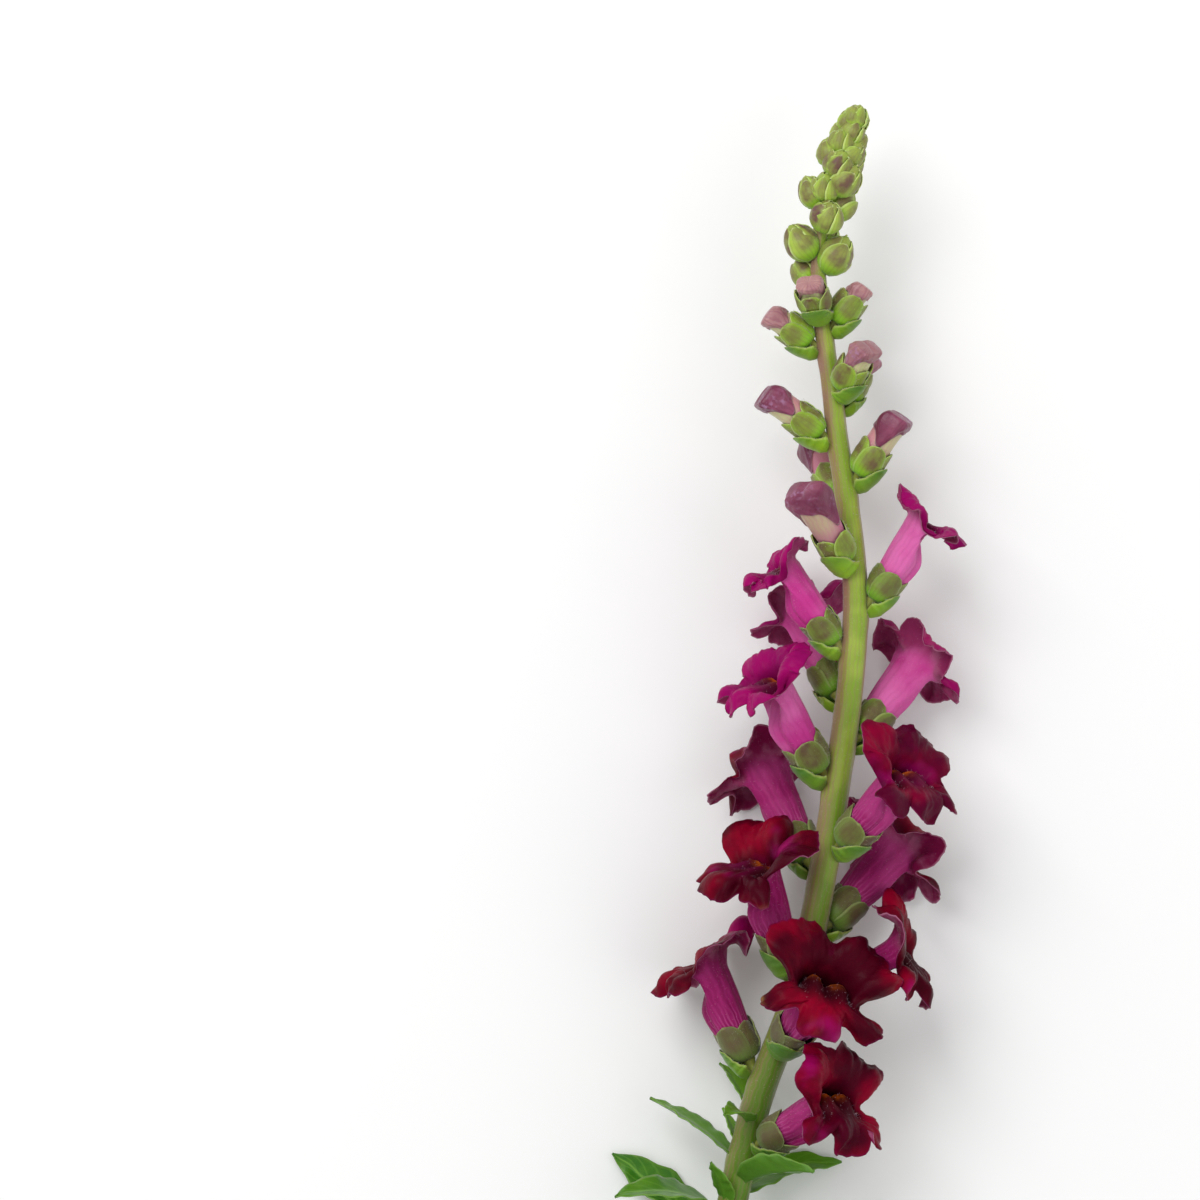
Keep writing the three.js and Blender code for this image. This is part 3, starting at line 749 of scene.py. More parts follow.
@dataclass(frozen=True)
class Finish:
    """What all the plant's finishes share: gloss, sheen, glow through thin tissue and grain of the skin.

    Args:
        name: the material's name.
        roughness: of the skin.
        sheen: weight of the soft light on fine down.
        through: how much light passes through the tissue, 0 to 1.
        grain: depth of the pebbled skin, in millimetres.
        gloss: strength of the mirror-like part of the light.
        down: colour and roughness of the light on fine down.
        glow: how far light spreads in the tissue in red, green and blue, and the scale of that, in metres.
    """

    name: str
    roughness: float = 0.5
    sheen: float = 0.2
    through: float = 0.1
    grain: float = 0.05
    gloss: float = 0.3
    down: tuple[Colour, float] = ((1.0, 1.0, 1.0), 0.45)
    glow: tuple[Colour, float] = ((1.0, 0.4, 0.25), 0.0012)

    def colour(self, graph: Graph) -> Socket:
        """The base colour over the surface; each finish has its own."""
        raise NotImplementedError

    def material(self) -> bpy.types.Material:
        """Builds the material."""
        made = bpy.data.materials.new(self.name)
        made.use_nodes = True
        graph = Graph(made.node_tree)
        relief = {"Height": graph.group(GROUPS.cells()), "Strength": 1.0, "Distance": self.grain * MM}
        sockets = {
            "Base Color": self.colour(graph),
            "Roughness": self.roughness,
            "Specular IOR Level": self.gloss,
            "Sheen Weight": self.sheen,
            "Sheen Tint": self.down[0],
            "Sheen Roughness": self.down[1],
            "Subsurface Weight": self.through,
            "Subsurface Radius": self.glow[0],
            "Subsurface Scale": self.glow[1],
            "Normal": graph.node("ShaderNodeBump", relief).outputs["Normal"],
        }
        graph.wire(made.node_tree.nodes["Principled BSDF"], sockets)
        return made


@dataclass(frozen=True)
class StemFinish(Finish):
    """The stem: fresh green on one side, olive to mauve on the other, streaked lengthwise."""

    green: Colour = (0.22, 0.35, 0.02)
    lime: Colour = (0.34, 0.46, 0.05)
    deep: Colour = (0.08, 0.19, 0.006)
    olive: Colour = (0.27, 0.24, 0.05)
    mauve: Colour = (0.30, 0.16, 0.11)
    pith: Colour = (0.62, 0.66, 0.36)

    def colour(self, graph: Graph) -> Socket:
        """Green and lime blotches, deeper with age, with olive-mauve flanks and mauve streaks."""
        streaks = graph.streaks("turn", 19, 2.0, 0.35)
        return graph.coats(
            self.green,
            (graph.mottle(70, 0.42, 0.62), 1, self.lime),
            ("age", 0.9, self.deep),
            ("flank", 1, graph.mix(graph.mottle(90, 0.4, 0.65), self.olive, self.mauve)),
            (graph.times(streaks, graph.plus(graph.times("flank", 0.45), 0.25)), 1, self.mauve),
            ("cut", 1, self.pith),
        )


@dataclass(frozen=True)
class LeafFinish(Finish):
    """A leaf: mid to dark green above with pale veins, greyer below, with a pale rim."""

    young: Colour = (0.16, 0.37, 0.012)
    old: Colour = (0.028, 0.14, 0.008)
    under: Colour = (0.12, 0.27, 0.03)
    under_old: Colour = (0.07, 0.19, 0.025)
    vein: Colour = (0.19, 0.40, 0.05)
    rim: Colour = (0.18, 0.33, 0.06)

    def colour(self, graph: Graph) -> Socket:
        """Green by age and blotch, with midrib, side veins, underside and rim."""
        blade = graph.mix("age", self.young, self.old)
        under = graph.mix("age", self.under, self.under_old)
        return graph.coats(
            graph.mix(0.4, blade, graph.mix(graph.mottle(160, 0.35, 0.75), blade, self.young)),
            (graph.streaks("veining", 1, 0.35, 0.78), 0.22, self.vein),
            ("midrib", 0.75, self.vein),
            ("inner", 0.7, graph.partly(graph.mottle(300, 0.35, 0.7), 0.35, under, self.under_old)),
            ("edge", 0.6, self.rim),
        )


@dataclass(frozen=True)
class SepalFinish(Finish):
    """Sepals and green buds: lime to olive, duller with age, with a soft brown-mauve patch on each sepal."""

    base: Colour = (0.15, 0.36, 0.012)
    body: Colour = (0.19, 0.27, 0.035)
    stain: Colour = (0.10, 0.045, 0.03)
    rim: Colour = (0.36, 0.42, 0.15)
    faded: Colour = (0.105, 0.10, 0.045)
    staining: float = 0.95

    def colour(self, graph: Graph) -> Socket:
        """Lime at the foot to the body's colour, stained along the middle, with a pale rim."""
        worn = graph.plus(graph.times(graph.mottle(380, 0.3, 0.65), 0.4), 0.6)
        return graph.coats(
            self.base,
            (graph.band("reach", 0.12, 0.55), 1, self.body),
            (graph.mottle(260, 0.4, 0.7), 0.35, self.base),
            ("age", 0.65, self.faded),
            (graph.times("stain", worn), self.staining, self.stain),
            (graph.streaks("across", 3.5, 0.8, 0.55), 0.16, self.stain),
            ("edge", 0.6, self.rim),
        )


@dataclass(frozen=True)
class PetalFinish(Finish):
    """A bloom: magenta outside with faint veins, velvety crimson inside, with a yellow and orange mouth."""

    tube: Colour = (0.54, 0.042, 0.26)
    tube_pale: Colour = (0.68, 0.15, 0.41)
    tube_old: Colour = (0.22, 0.006, 0.075)
    back: Colour = (0.20, 0.008, 0.06)
    back_young: Colour = (0.33, 0.045, 0.15)
    painted_sheen: Colour = (0.40, 0.13, 0.23)
    velvet: Colour = (0.055, 0.0004, 0.007)
    flame: Colour = (0.23, 0.0006, 0.016)
    plum: Colour = (0.22, 0.002, 0.09)
    magenta: Colour = (0.34, 0.003, 0.12)
    burgundy: Colour = (0.025, 0.001, 0.004)
    rim: Colour = (0.16, 0.006, 0.06)
    painted_rim_highlight: Colour = (0.50, 0.24, 0.34)
    orange: Colour = (0.90, 0.19, 0.006)
    cream: Colour = (0.90, 0.62, 0.16)

    def outside(self, graph: Graph, veins: Socket) -> Socket:
        """The tube and the backs of the lips."""
        blush = graph.mottle(70, 0.35, 0.7)
        pale = graph.times(graph.streaks("turn", 31, 1.6, 0.45), graph.fall("reach", 0.12, 0.42))
        young = graph.coats(self.tube, (blush, 1, self.tube_pale), (veins, 0.09, self.tube_old))
        old = graph.coats(
            self.tube_old, (veins, 0.2, self.tube), (blush, 0.3, self.tube), (pale, 0.45, self.tube_pale)
        )
        lips = graph.mix(graph.band("age", 0.3, 0.9), self.back_young, self.back)
        # The paler mauve blotches on the lips' backs are painted sheen: light caught by their fine hairs.
        lips = graph.partly(graph.mottle(190, 0.45, 0.7), 0.55, lips, self.painted_sheen)
        return graph.coats(young, (graph.band("age", 0.45, 1.0), 0.92, old), (graph.band("lip", 0.02, 0.5), 1, lips))

    def inside(self, graph: Graph, veins: Socket) -> Socket:
        """The lobes, the palate with its spots and the throat; magenta blotches on ripe lobes are painted light
        shining through them from behind.
        """
        ripe = graph.coats(
            self.velvet,
            (graph.mottle(60, 0.40, 0.66), 1, self.flame),
            (veins, 0.15, self.velvet),
            # painted light: magenta where the lobes would be lit through from behind
            (graph.mottle(48, 0.55, 0.68), 0.75, self.magenta),
        )
        flecks = graph.plus(graph.times(graph.mottle(520, 0.38, 0.6), 0.7), 0.3)
        return graph.coats(
            self.magenta,
            (graph.mottle(90, 0.3, 0.8), 1, self.plum),
            (graph.band("age", 0.45, 0.95), 1, ripe),
            ("palate", 0.85, self.burgundy),
            ("throat", 0.7, self.burgundy),
            ("gold", 1, self.cream),
            (graph.times("glow", flecks), 1, self.orange),
        )

    def colour(self, graph: Graph) -> Socket:
        """The outside and the inside joined by which skin it is, with a painted highlight along the rim outside and a
        dark rim inside.
        """
        veins = graph.streaks("turn", 22, 2.2, 0.35)
        both = graph.mix("inner", self.outside(graph, veins), self.inside(graph, veins))
        # The pale rim outside is a painted highlight: light on the hairy margin of the lips.
        return graph.partly("edge", 0.7, both, graph.mix("inner", self.painted_rim_highlight, self.rim))


@dataclass(frozen=True)
class BudFinish(Finish):
    """Furled petals: a cream-green body with pink flanks under a dusky plum cap."""

    cream: Colour = (0.55, 0.56, 0.27)
    beige: Colour = (0.53, 0.40, 0.26)
    blush: Colour = (0.55, 0.31, 0.24)
    pink: Colour = (0.54, 0.17, 0.27)
    flush: Colour = (0.48, 0.12, 0.26)
    cap_young: Colour = (0.46, 0.25, 0.23)
    cap_streak: Colour = (0.24, 0.06, 0.11)
    cap: Colour = (0.14, 0.014, 0.05)
    painted_sheen: Colour = (0.25, 0.055, 0.11)
    painted_highlight: Colour = (0.40, 0.20, 0.36)
    hem: Colour = (0.50, 0.30, 0.34)

    def petals(self, graph: Graph, veins: Socket) -> Socket:
        """The body below the cap: cream to beige in front, pink at the flanks and flushed at the foot."""
        flank = graph.times("flank", graph.plus("age", 0.28))
        flank = graph.plus(flank, graph.times(graph.mottle(160, 0.35, 0.75), 0.3))
        return graph.coats(
            self.cream,
            (graph.band("age", 0.45, 1.05), 1, self.beige),
            (graph.band(flank, 0.1, 1.2), 1, graph.mix("age", self.blush, self.pink)),
            (graph.times(graph.fall("reach", 0.28, 0.6), "age"), 0.75, self.flush),
            (veins, 0.22, self.pink),
        )

    def hood(self, graph: Graph, veins: Socket) -> Socket:
        """The cap: dusky plum with painted highlights in paler blotches and fine specks, paler and streaked on young
        buds.
        """
        # The paler blotches on ripe caps are painted highlights.
        ripe = graph.coats(self.cap, (graph.mottle(130, 0.38, 0.68), 1, self.painted_sheen), (veins, 0.35, self.cap))
        # The pale specks are painted highlights, as of light on a satin cap.
        highlight_specks = graph.times(graph.mottle(900, 0.45, 0.7), graph.mottle(150, 0.45, 0.7))
        return graph.coats(
            self.cap_young,
            (veins, 0.4, self.cap_streak),
            (graph.mottle(210, 0.4, 0.7), 0.45, self.cap_streak),
            (graph.band("age", -0.05, 0.5), 1, ripe),
            (highlight_specks, 0.75, self.painted_highlight),
        )

    def colour(self, graph: Graph) -> Socket:
        """The body and the cap, with the cap's pale hem."""
        veins = graph.streaks("turn", 20, 2.0, 0.4)
        both = graph.mix("cap", self.petals(graph, veins), self.hood(graph, veins))
        return graph.partly("edge", 0.7, both, self.hem)


@dataclass(frozen=True)
class HairFinish(Finish):
    """Fine plant hairs: pale and a little see-through."""

    pale: Colour = (0.72, 0.72, 0.58)
    warm: Colour = (0.66, 0.58, 0.48)

    def colour(self, graph: Graph) -> Socket:
        """Pale, and slightly warmer in blotches."""
        return graph.mix(graph.mottle(300, 0.3, 0.7), self.pale, self.warm)


@dataclass(frozen=True)
class BeardFinish(Finish):
    """The short hairs of the palate and throat: yellow inside, pale outside."""

    yellow: Colour = (0.90, 0.55, 0.05)
    pale: Colour = (0.66, 0.36, 0.44)

    def colour(self, graph: Graph) -> Socket:
        """Yellow where the hair stands in the throat."""
        return graph.mix("gold", self.pale, self.yellow)


# ---- the stem and its stalks ----


@dataclass
class Piece:
    """A CAD node that finished objects stand for, and its material slot."""

    node: str
    slot: str

    def grow(self, name: str, skin: bpy.types.Material, *builders: Build) -> None:
        """Makes one object, ties it to the body and hides the CAD node it stands for.

        Args:
            name: the object's name.
            skin: its finish.
            *builders: what adds its surfaces, in order.
        """
        tissue = Tissue()
        for build in builders:
            build(tissue)
        made = tissue.place(name, skin)
        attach(made, "root")
        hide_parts(self.node)
        LOG.info("%s: %d faces", made.name, len(made.data.polygons))


@dataclass
class StemRod:
    """The stem itself: a slightly ribbed rod with a swelling under each leaf and flower."""

    nodes: list[tuple[float, float]]
    step: float = 1.4
    sides: int = 44
    rib: float = 0.05
    knot: float = 0.32
    knot_length: float = 2.4
    end_hollow: float = 0.5
    hair_count: int = 9000
    hair_seed: int = 3

    def grid(self) -> tuple[Points, Values]:
        """Rings of points along the stem and their named values."""
        count = int(round((STEM_TIP - CUT_END) / self.step))
        stations = np.linspace(CUT_END, STEM_TIP, count + 1)
        stem = StemFrames.at(stations)
        stations, core = stations[:, None], stem.radius[:, None]
        turn = np.arange(self.sides) / self.sides
        angle = 2 * math.pi * turn
        radius = core + self.rib * np.sin(9 * angle) * smoothstep(core, 0.6, 2)
        for station, azimuth in self.nodes:
            off = np.angle(np.exp(1j * (angle - azimuth * DEG)))
            swell = bell(stations, station, self.knot_length) * bell(off, 0, 0.75)
            radius = radius + self.knot * swell * np.minimum(1, core / 3)
        outward = stem.up[:, None] * np.cos(angle)[:, None] + stem.right[:, None] * np.sin(angle)[:, None]
        rings = stem.point[:, None] + outward * radius[..., None]
        rings[..., 2] = np.maximum(rings[..., 2], 0)
        drift = Waves(5, [0.03, 0.011, 0.05], [1, 1, 2]).at(stations, angle)
        flank = smoothstep(np.abs(np.sin(angle - 0.35 + 0.3 * drift)), 0.3, 0.9)
        flank = flank * (0.4 + 0.6 * smoothstep(stations, 20, 170))
        return rings, {"turn": turn, "flank": flank, "age": 1 - smoothstep(stations, 20, 150), "cut": 0.0}

    def cut_face(self, ring: Points) -> Points:
        """Rings that close the cut end, a little hollow in the middle."""
        centre = ring.mean(axis=0)
        shares = np.array([0.0, 0.35, 0.62, 0.85, 0.97])[:, None, None]
        rings = centre + (ring - centre) * shares
        rings[:, :, 1] += self.end_hollow * (1 - shares[..., 0] ** 2) - 0.15 * (shares[..., 0] > 0.9)
        return rings

    def build(self, tissue: Tissue) -> None:
        """Adds the rod, its cut face and its tip."""
        rings, values = self.grid()
        tissue.skin(rings, values)
        face = self.cut_face(rings[0])
        tissue.skin(np.concatenate([face, rings[:1]]), {"cut": 1.0})
        tip = StemFrames.at(STEM_TIP).point[0] + np.array([0, 0.4, 0])
        tissue.close(rings[-1], tip, {}, ahead=True)

    def down(self, tissue: Tissue) -> None:
        """Adds short pale hairs, closer together on the upper stem."""
        draw = np.random.default_rng(self.hair_seed)
        stations = CUT_END + (STEM_TIP - CUT_END) * draw.uniform(0.02, 1, self.hair_count) ** 0.7
        stem = StemFrames.at(stations)
        angle = draw.uniform(0, 2 * math.pi, self.hair_count)[:, None]
        outward = stem.up * np.cos(angle) + stem.right * np.sin(angle)
        roots = stem.point + outward * (stem.radius[:, None] - 0.02)
        tissue.hairs(roots, outward, draw, 0.3, (0.35, 0.85), 0.018)


@dataclass
class Pedicel:
    """The short stalk from the stem to a calyx."""

    growth: Growth
    size: float
    calyx_foot: float = -0.5
    drop: float = 3.2
    sides: int = 14
    rows: int = 12

    def build(self, tissue: Tissue) -> None:
        """Adds the stalk's skin: a foot that spreads on the stem and a cup under the calyx."""
        start = StemFrames.at(self.growth.root[1] - self.drop * self.size).point[0]
        gap = SEAT_GAP + SHEET / 2
        end = self.growth.origin + self.growth.forward * (self.calyx_foot * self.size - gap + 0.35)
        share = np.linspace(0, 1, self.rows)
        width = 1.25 - 0.35 * np.sin(math.pi * share) + 0.35 * smoothstep(share, 0.75, 1)
        width = (0.55 + 0.6 * self.size) * width
        angle = turns(self.sides)
        around = self.growth.dorsal * np.cos(angle)[:, None] + self.growth.side * np.sin(angle)[:, None]
        rings = (start + (end - start) * share[:, None])[:, None] + around[None] * width[:, None, None]
        cap = np.broadcast_to(end + self.growth.forward * 0.1, rings[-1].shape)
        values: Values = {"turn": angle / (2 * math.pi), "flank": 0.3, "age": 0.2}
        tissue.skin(np.concatenate([rings, cap[None]]), values)


# ---- leaves and bracts ----


def rim(row: Points, column: Points) -> Points:
    """How near a blade's edge is: 1 at its sides and tip, 0 further in."""
    return np.maximum(smoothstep(np.abs(row), 0.86, 1), smoothstep(column, 0.95, 1))


def thinned(thickness: float, row: Points, column: Points, loss: float) -> Points:
    """Thickness of a blade that loses a share of it to its sides and two fifths to its tip."""
    return thickness * (1 - loss * np.abs(row) ** 3) * (1 - 0.4 * smoothstep(column, 0.8, 1))


@dataclass
class Leaf:
    """A leaf or side leaf: its middle line leaves the stem at an angle and bends away from it.

    Args:
        station: where it leaves the stem.
        azimuth: direction round the stem, in degrees.
        lean: first angle from the stem, in degrees.
        bend: change of that angle along the leaf.
        length: in millimetres.
        width: in millimetres.
        fold: rise of the edges over the midrib, as a share of the half width.
        steps: steps of the CAD model's middle line.
        twist: turn of the blade about its middle line, in degrees.
        age: 0 young and bright to 1 old and dark.
        seed: which of the family's small waves it has.
        thickness: between the veins.
        midrib: how much thicker its middle is.
        groove: how deep the midrib lies.
        ripple: height of the waves towards the edges, as a share of the width.
        sway: how far the tip strays sideways, as a share of the width.
    """

    station: float
    azimuth: float
    lean: float
    bend: float
    length: float
    width: float
    fold: float
    steps: int
    twist: float = 0.0
    age: float = 0.5
    seed: int = 0
    thickness: float = 0.5
    midrib: float = 0.35
    groove: float = 0.22
    ripple: float = 0.035
    sway: float = 0.03
    rows: int = 30
    columns: int = 15

    def middle(self) -> tuple[Points, Points, Points]:
        """The CAD model's middle line, with its sideways and upper directions at each step."""
        stem = StemFrames.at(self.station)
        tangent, outward = stem.tangent[0], stem.radial(self.azimuth)[0]
        across = np.cross(tangent, outward)
        point = stem.point[0] + outward * stem.radius[0] * 0.4
        step = self.length / self.steps
        points, sides, faces = [], [], []
        for i in range(self.steps + 1):
            t = i / self.steps
            angle = (self.lean + self.bend * t) * DEG
            free = tangent * math.cos(angle) + outward * math.sin(angle)
            forward = self.along_table(free, point[2], step)
            level = across.copy()
            level[2] *= smoothstep(point[2], LEAF_FLOOR, 3 * FLOOR_SOFTNESS)
            side = turned(unit(level - forward * (level @ forward)), forward, self.twist * t)
            if i > 0:
                point = point + forward * step
            points.append(point)
            sides.append(side)
            faces.append(np.cross(forward, side))
        return np.array(points), np.array(sides), np.array(faces)

    @staticmethod
    def along_table(direction: Points, height: float, step: float) -> Points:
        """The next step's direction, turned along the table where it would run into it."""
        steepest = min(max(0.6 * (height - LEAF_FLOOR) / step, 0), 1)
        if -direction[2] <= steepest:
            return direction
        level = unit(np.array([direction[0], direction[1], 0.0])) * math.sqrt(1 - steepest**2)
        return level - UP * steepest

    @staticmethod
    def outline(t: Points) -> Points:
        """Half width along the leaf as a share of the widest: narrow foot, pointed tip."""
        full = np.sin(math.pi * np.clip(t, 0, 1) ** 0.8) ** 0.85
        foot = 0.22 * (1 - smoothstep(t, 0, 0.35))
        return np.maximum(np.maximum(full, foot), 0.02)

    def build(self, tissue: Tissue) -> None:
        """Adds the blade with its groove, waves and tapering edge."""
        t = np.linspace(0, 1, self.rows) ** 0.92
        knots = np.arange(self.steps + 1) / self.steps
        point, side, face = (hermite(knots, rows, t)[:, None] for rows in self.middle())
        side, face, t = unit(side), unit(face), t[:, None]
        edge = np.linspace(-1, 1, self.columns)
        out = np.abs(edge)
        half = (self.width / 2) * self.outline(t)
        waves = Waves(self.seed, [2.1, 4.3, 6.2], [1.2, 0.6, 2.0])
        ripple = waves.at(2.2 * math.pi * t, 1.5 * edge) * out**1.5
        groove = self.groove * bell(edge, 0, 0.16) * smoothstep(1 - t, 0, 0.3)
        lift = self.fold * out**1.35 * half + ripple * (self.ripple * self.width) - groove
        sway = self.sway * self.width * waves.at(1.7 * math.pi * t, np.zeros((1, 1)))
        grid = point + side * (half * edge + sway * t)[..., None] + face * lift[..., None]
        thick = self.thickness * (1 - 0.55 * out**3) + self.midrib * bell(edge, 0, 0.1)
        values: Values = {
            "age": self.age,
            "midrib": bell(edge, 0, 0.09),
            "edge": smoothstep(out, 0.9, 1),
            "veining": 5.5 * (t * self.length / 24 - 0.35 * out),
        }
        tissue.shell(settle(grid, LEAF_FLOOR - 0.1), thick, values)


@dataclass
class Bract:
    """The small scoop-shaped leaf that holds a calyx from below.

    Args:
        growth: the frame of the bloom or bud it holds.
        size: length scale of the calyx.
        girth: width scale of the calyx.
        age: 0 young and bright to 1 old and dark.
        seed: which of the family's small waves it has.
        keel: rows of ahead and distance from the axis, which grow with the calyx.
        clear: added to that distance, whatever the calyx.
        wrap: half angle round the calyx at its foot and further out, in degrees.
        drop: how far below the bloom's own station it leaves the stem.
        hold: half angle of its foot round the stem, in degrees.
        shoulder: how far the corners of its foot keep ahead of the keel.
        thickness: of the middle.
        ripple: height of the waves at the edges.
        curl: how far the tip bends inwards.
    """

    growth: Growth
    size: float
    girth: float
    age: float
    seed: int
    keel: tuple[tuple[float, float], ...] = ((-3.6, 3.3), (-2.0, 3.8), (-0.1, 4.35), (2.0, 4.6), (4.0, 4.5))
    clear: float = 0.6
    wrap: tuple[float, float] = (84, 60)
    drop: float = 3.1
    hold: float = 56
    shoulder: float = 1.3
    thickness: float = 0.5
    ripple: float = 0.16
    curl: float = 0.12
    rows: int = 26
    columns: int = 15
    hair_count: int = 90

    def rings(self) -> tuple[Points, Points]:
        """Shares from the foot to the rounded tip, and the ahead, radius and half angle of the scoop there."""
        share = 1 - (1 - np.linspace(0, 1, 14)) ** 1.7
        keel = np.array(self.keel) * [self.size, self.girth] + [0, self.clear]
        ahead, radius = hermite(np.linspace(0, 1, len(keel)), keel, share).T
        wrap = lerp(*self.wrap, smoothstep(share, 0, 0.5)) * np.sqrt(1 - share**3.2)
        return share, np.stack([ahead, radius, np.maximum(wrap, 4)], axis=1)

    def grid(self) -> Points:
        """The middle surface: a foot on the stem, then a scoop round the calyx."""
        edge = np.linspace(-1, 1, self.columns)
        stem = StemFrames.at(self.growth.root[1] - self.drop * self.size)
        outward = self.growth.origin - stem.point[0]
        outward = unit(outward - stem.tangent[0] * (outward @ stem.tangent[0]))
        beside = np.cross(stem.tangent[0], outward)
        angle = self.hold * DEG * edge[:, None]
        around = outward * np.cos(angle) - beside * np.sin(angle)
        rows = [stem.point[0] + around * (stem.radius[0] * 0.85)]
        share, rings = self.rings()
        for part, (ahead, radius, half_angle) in zip(share, rings):
            turn = half_angle * DEG * edge
            corner = self.shoulder * self.size * (1 - part) ** 2 * edge**2
            rows.append(self.growth.place(radius * np.sin(turn), -radius * np.cos(turn), ahead + corner))
        t = 1 - (1 - np.linspace(0, 1, self.rows)) ** 1.5
        fine = hermite(np.concatenate([[0], 0.18 + 0.82 * share]), np.array(rows), t)
        t = t[:, None]
        waves = Waves(self.seed, [3.1, 5.3], [1.2, 2.0]).at(2 * math.pi * t, 1.5 * edge) * np.abs(edge)
        lean = self.curl * smoothstep(t, 0.7, 1) * (1 + 0.6 * jitter(self.seed, 3))
        return settle(fine + grid_normals(fine, False) * (self.ripple * waves - lean)[..., None], LEAF_FLOOR - 0.1)

    def build(self, tissue: Tissue) -> None:
        """Adds the scoop with its thin rim."""
        edge = np.linspace(-1, 1, self.columns)
        t = np.linspace(0, 1, self.rows)[:, None]
        thick = thinned(self.thickness, edge, t, 0.6)
        tip = smoothstep(t, 0.2, 0.85) + 0.25 * np.abs(edge) ** 2
        values: Values = {
            "age": np.clip(self.age + 0.25 * jitter(self.seed, 4) + 0.5 * tip, 0, 1),
            "midrib": bell(edge, 0, 0.12) * 0.5,
            "edge": rim(edge, t),
            "veining": 4.0 * edge,
        }
        tissue.shell(self.grid(), thick, values)

    def rim_hairs(self, tissue: Tissue) -> None:
        """Adds short pale hairs along both edges."""
        grid = self.grid()
        draw = np.random.default_rng(900 + self.seed)
        row = draw.integers(5, self.rows, self.hair_count)
        side = draw.choice([0, self.columns - 1], self.hair_count)
        inner = np.where(side == 0, 2, self.columns - 3)
        roots = grid[row, side]
        tissue.hairs(roots, unit(roots - grid[row, inner]), draw, 0.4, (0.3, 0.7), 0.025)


@dataclass
class Foliage:
    """The leaves of the lower stem and the small side leaves above some of them.

    Args:
        count: of leaves.
        top: station of the uppermost one.
        spacing: first distance between two leaves along the stem.
        stretch: growth of that distance down the stem.
        first: azimuth of the uppermost leaf, in degrees.
        length: of the uppermost and of the full-grown leaves.
        clear_below: no leaf grows closer than this to straight down, in degrees.
        side_every: how many leaves share one side leaf.
        lean: first angle from the stem, in degrees, and how far it varies.
        bend: change of that angle along the leaf, in the same way.
        slimness: width as a share of the length, in the same way.
        fold: rise of the edges, in the same way.
        twist: greatest turn of the leaves that don't lie near the table, in degrees.
        side_size: length of a side leaf as a share of its leaf's, in the same way.
        side_turn: how far it stands beside its leaf, in degrees.
    """

    count: int = 24
    top: float = 21
    spacing: float = 3.7
    stretch: float = 0.12
    first: float = -160
    length: tuple[float, float] = (21, 38)
    clear_below: float = 38
    side_every: int = 3
    lean: tuple[float, float] = (52, 8)
    bend: tuple[float, float] = (34, 14)
    slimness: tuple[float, float] = (0.36, 0.04)
    fold: tuple[float, float] = (0.3, 0.12)
    twist: float = 40
    side_size: tuple[float, float] = (0.42, 0.08)
    side_turn: float = 16

    def azimuth(self, i: int) -> float:
        """Direction of leaf i, turned to the side where it would point at the table."""
        wrapped = (self.first + GOLDEN_TURN * i + 180) % 360 - 180
        limit = 180 - self.clear_below
        return min(max(wrapped, -limit), limit)

    def leaf(self, i: int) -> Leaf:
        """Leaf i, counted from the top."""
        age = min(1, i / (self.count / 3))
        azimuth = self.azimuth(i)
        length = lerp(*self.length, age) + 4 * jitter(i, 2)
        return Leaf(
            station=self.top - self.spacing * i - self.stretch * i * i + 1.2 * jitter(i, 1),
            azimuth=azimuth,
            lean=varied(self.lean, i, 3),
            bend=varied(self.bend, i, 4),
            length=length,
            width=length * varied(self.slimness, i, 5),
            fold=varied(self.fold, i, 6),
            steps=4,
            twist=self.twist * jitter(i, 9) if abs(azimuth) < 100 else 0.0,
            age=min(1.0, 0.15 + 0.8 * age + 0.1 * jitter(i, 10)),
            seed=100 + i,
        )

    def side_leaf(self, leaf: Leaf, i: int) -> Leaf:
        """A small young leaf in the angle above leaf i."""
        length = leaf.length * varied(self.side_size, i, 7)
        return Leaf(
            station=leaf.station + 2.2,
            azimuth=leaf.azimuth + math.copysign(self.side_turn, jitter(i, 8)),
            lean=30,
            bend=18,
            length=length,
            width=length * 0.42,
            fold=0.2,
            steps=3,
            age=leaf.age * 0.4,
            seed=300 + i,
        )

    def leaves(self) -> list[tuple[str, Leaf]]:
        """Every leaf with its name."""
        made = []
        for i in range(self.count):
            leaf = self.leaf(i)
            made.append((f"leaf_{i + 1:02d}", leaf))
            if i % self.side_every == 0:
                made.append((f"side_leaf_{i + 1:02d}", self.side_leaf(leaf, i)))
        return made


# ---- green buds and calyces ----


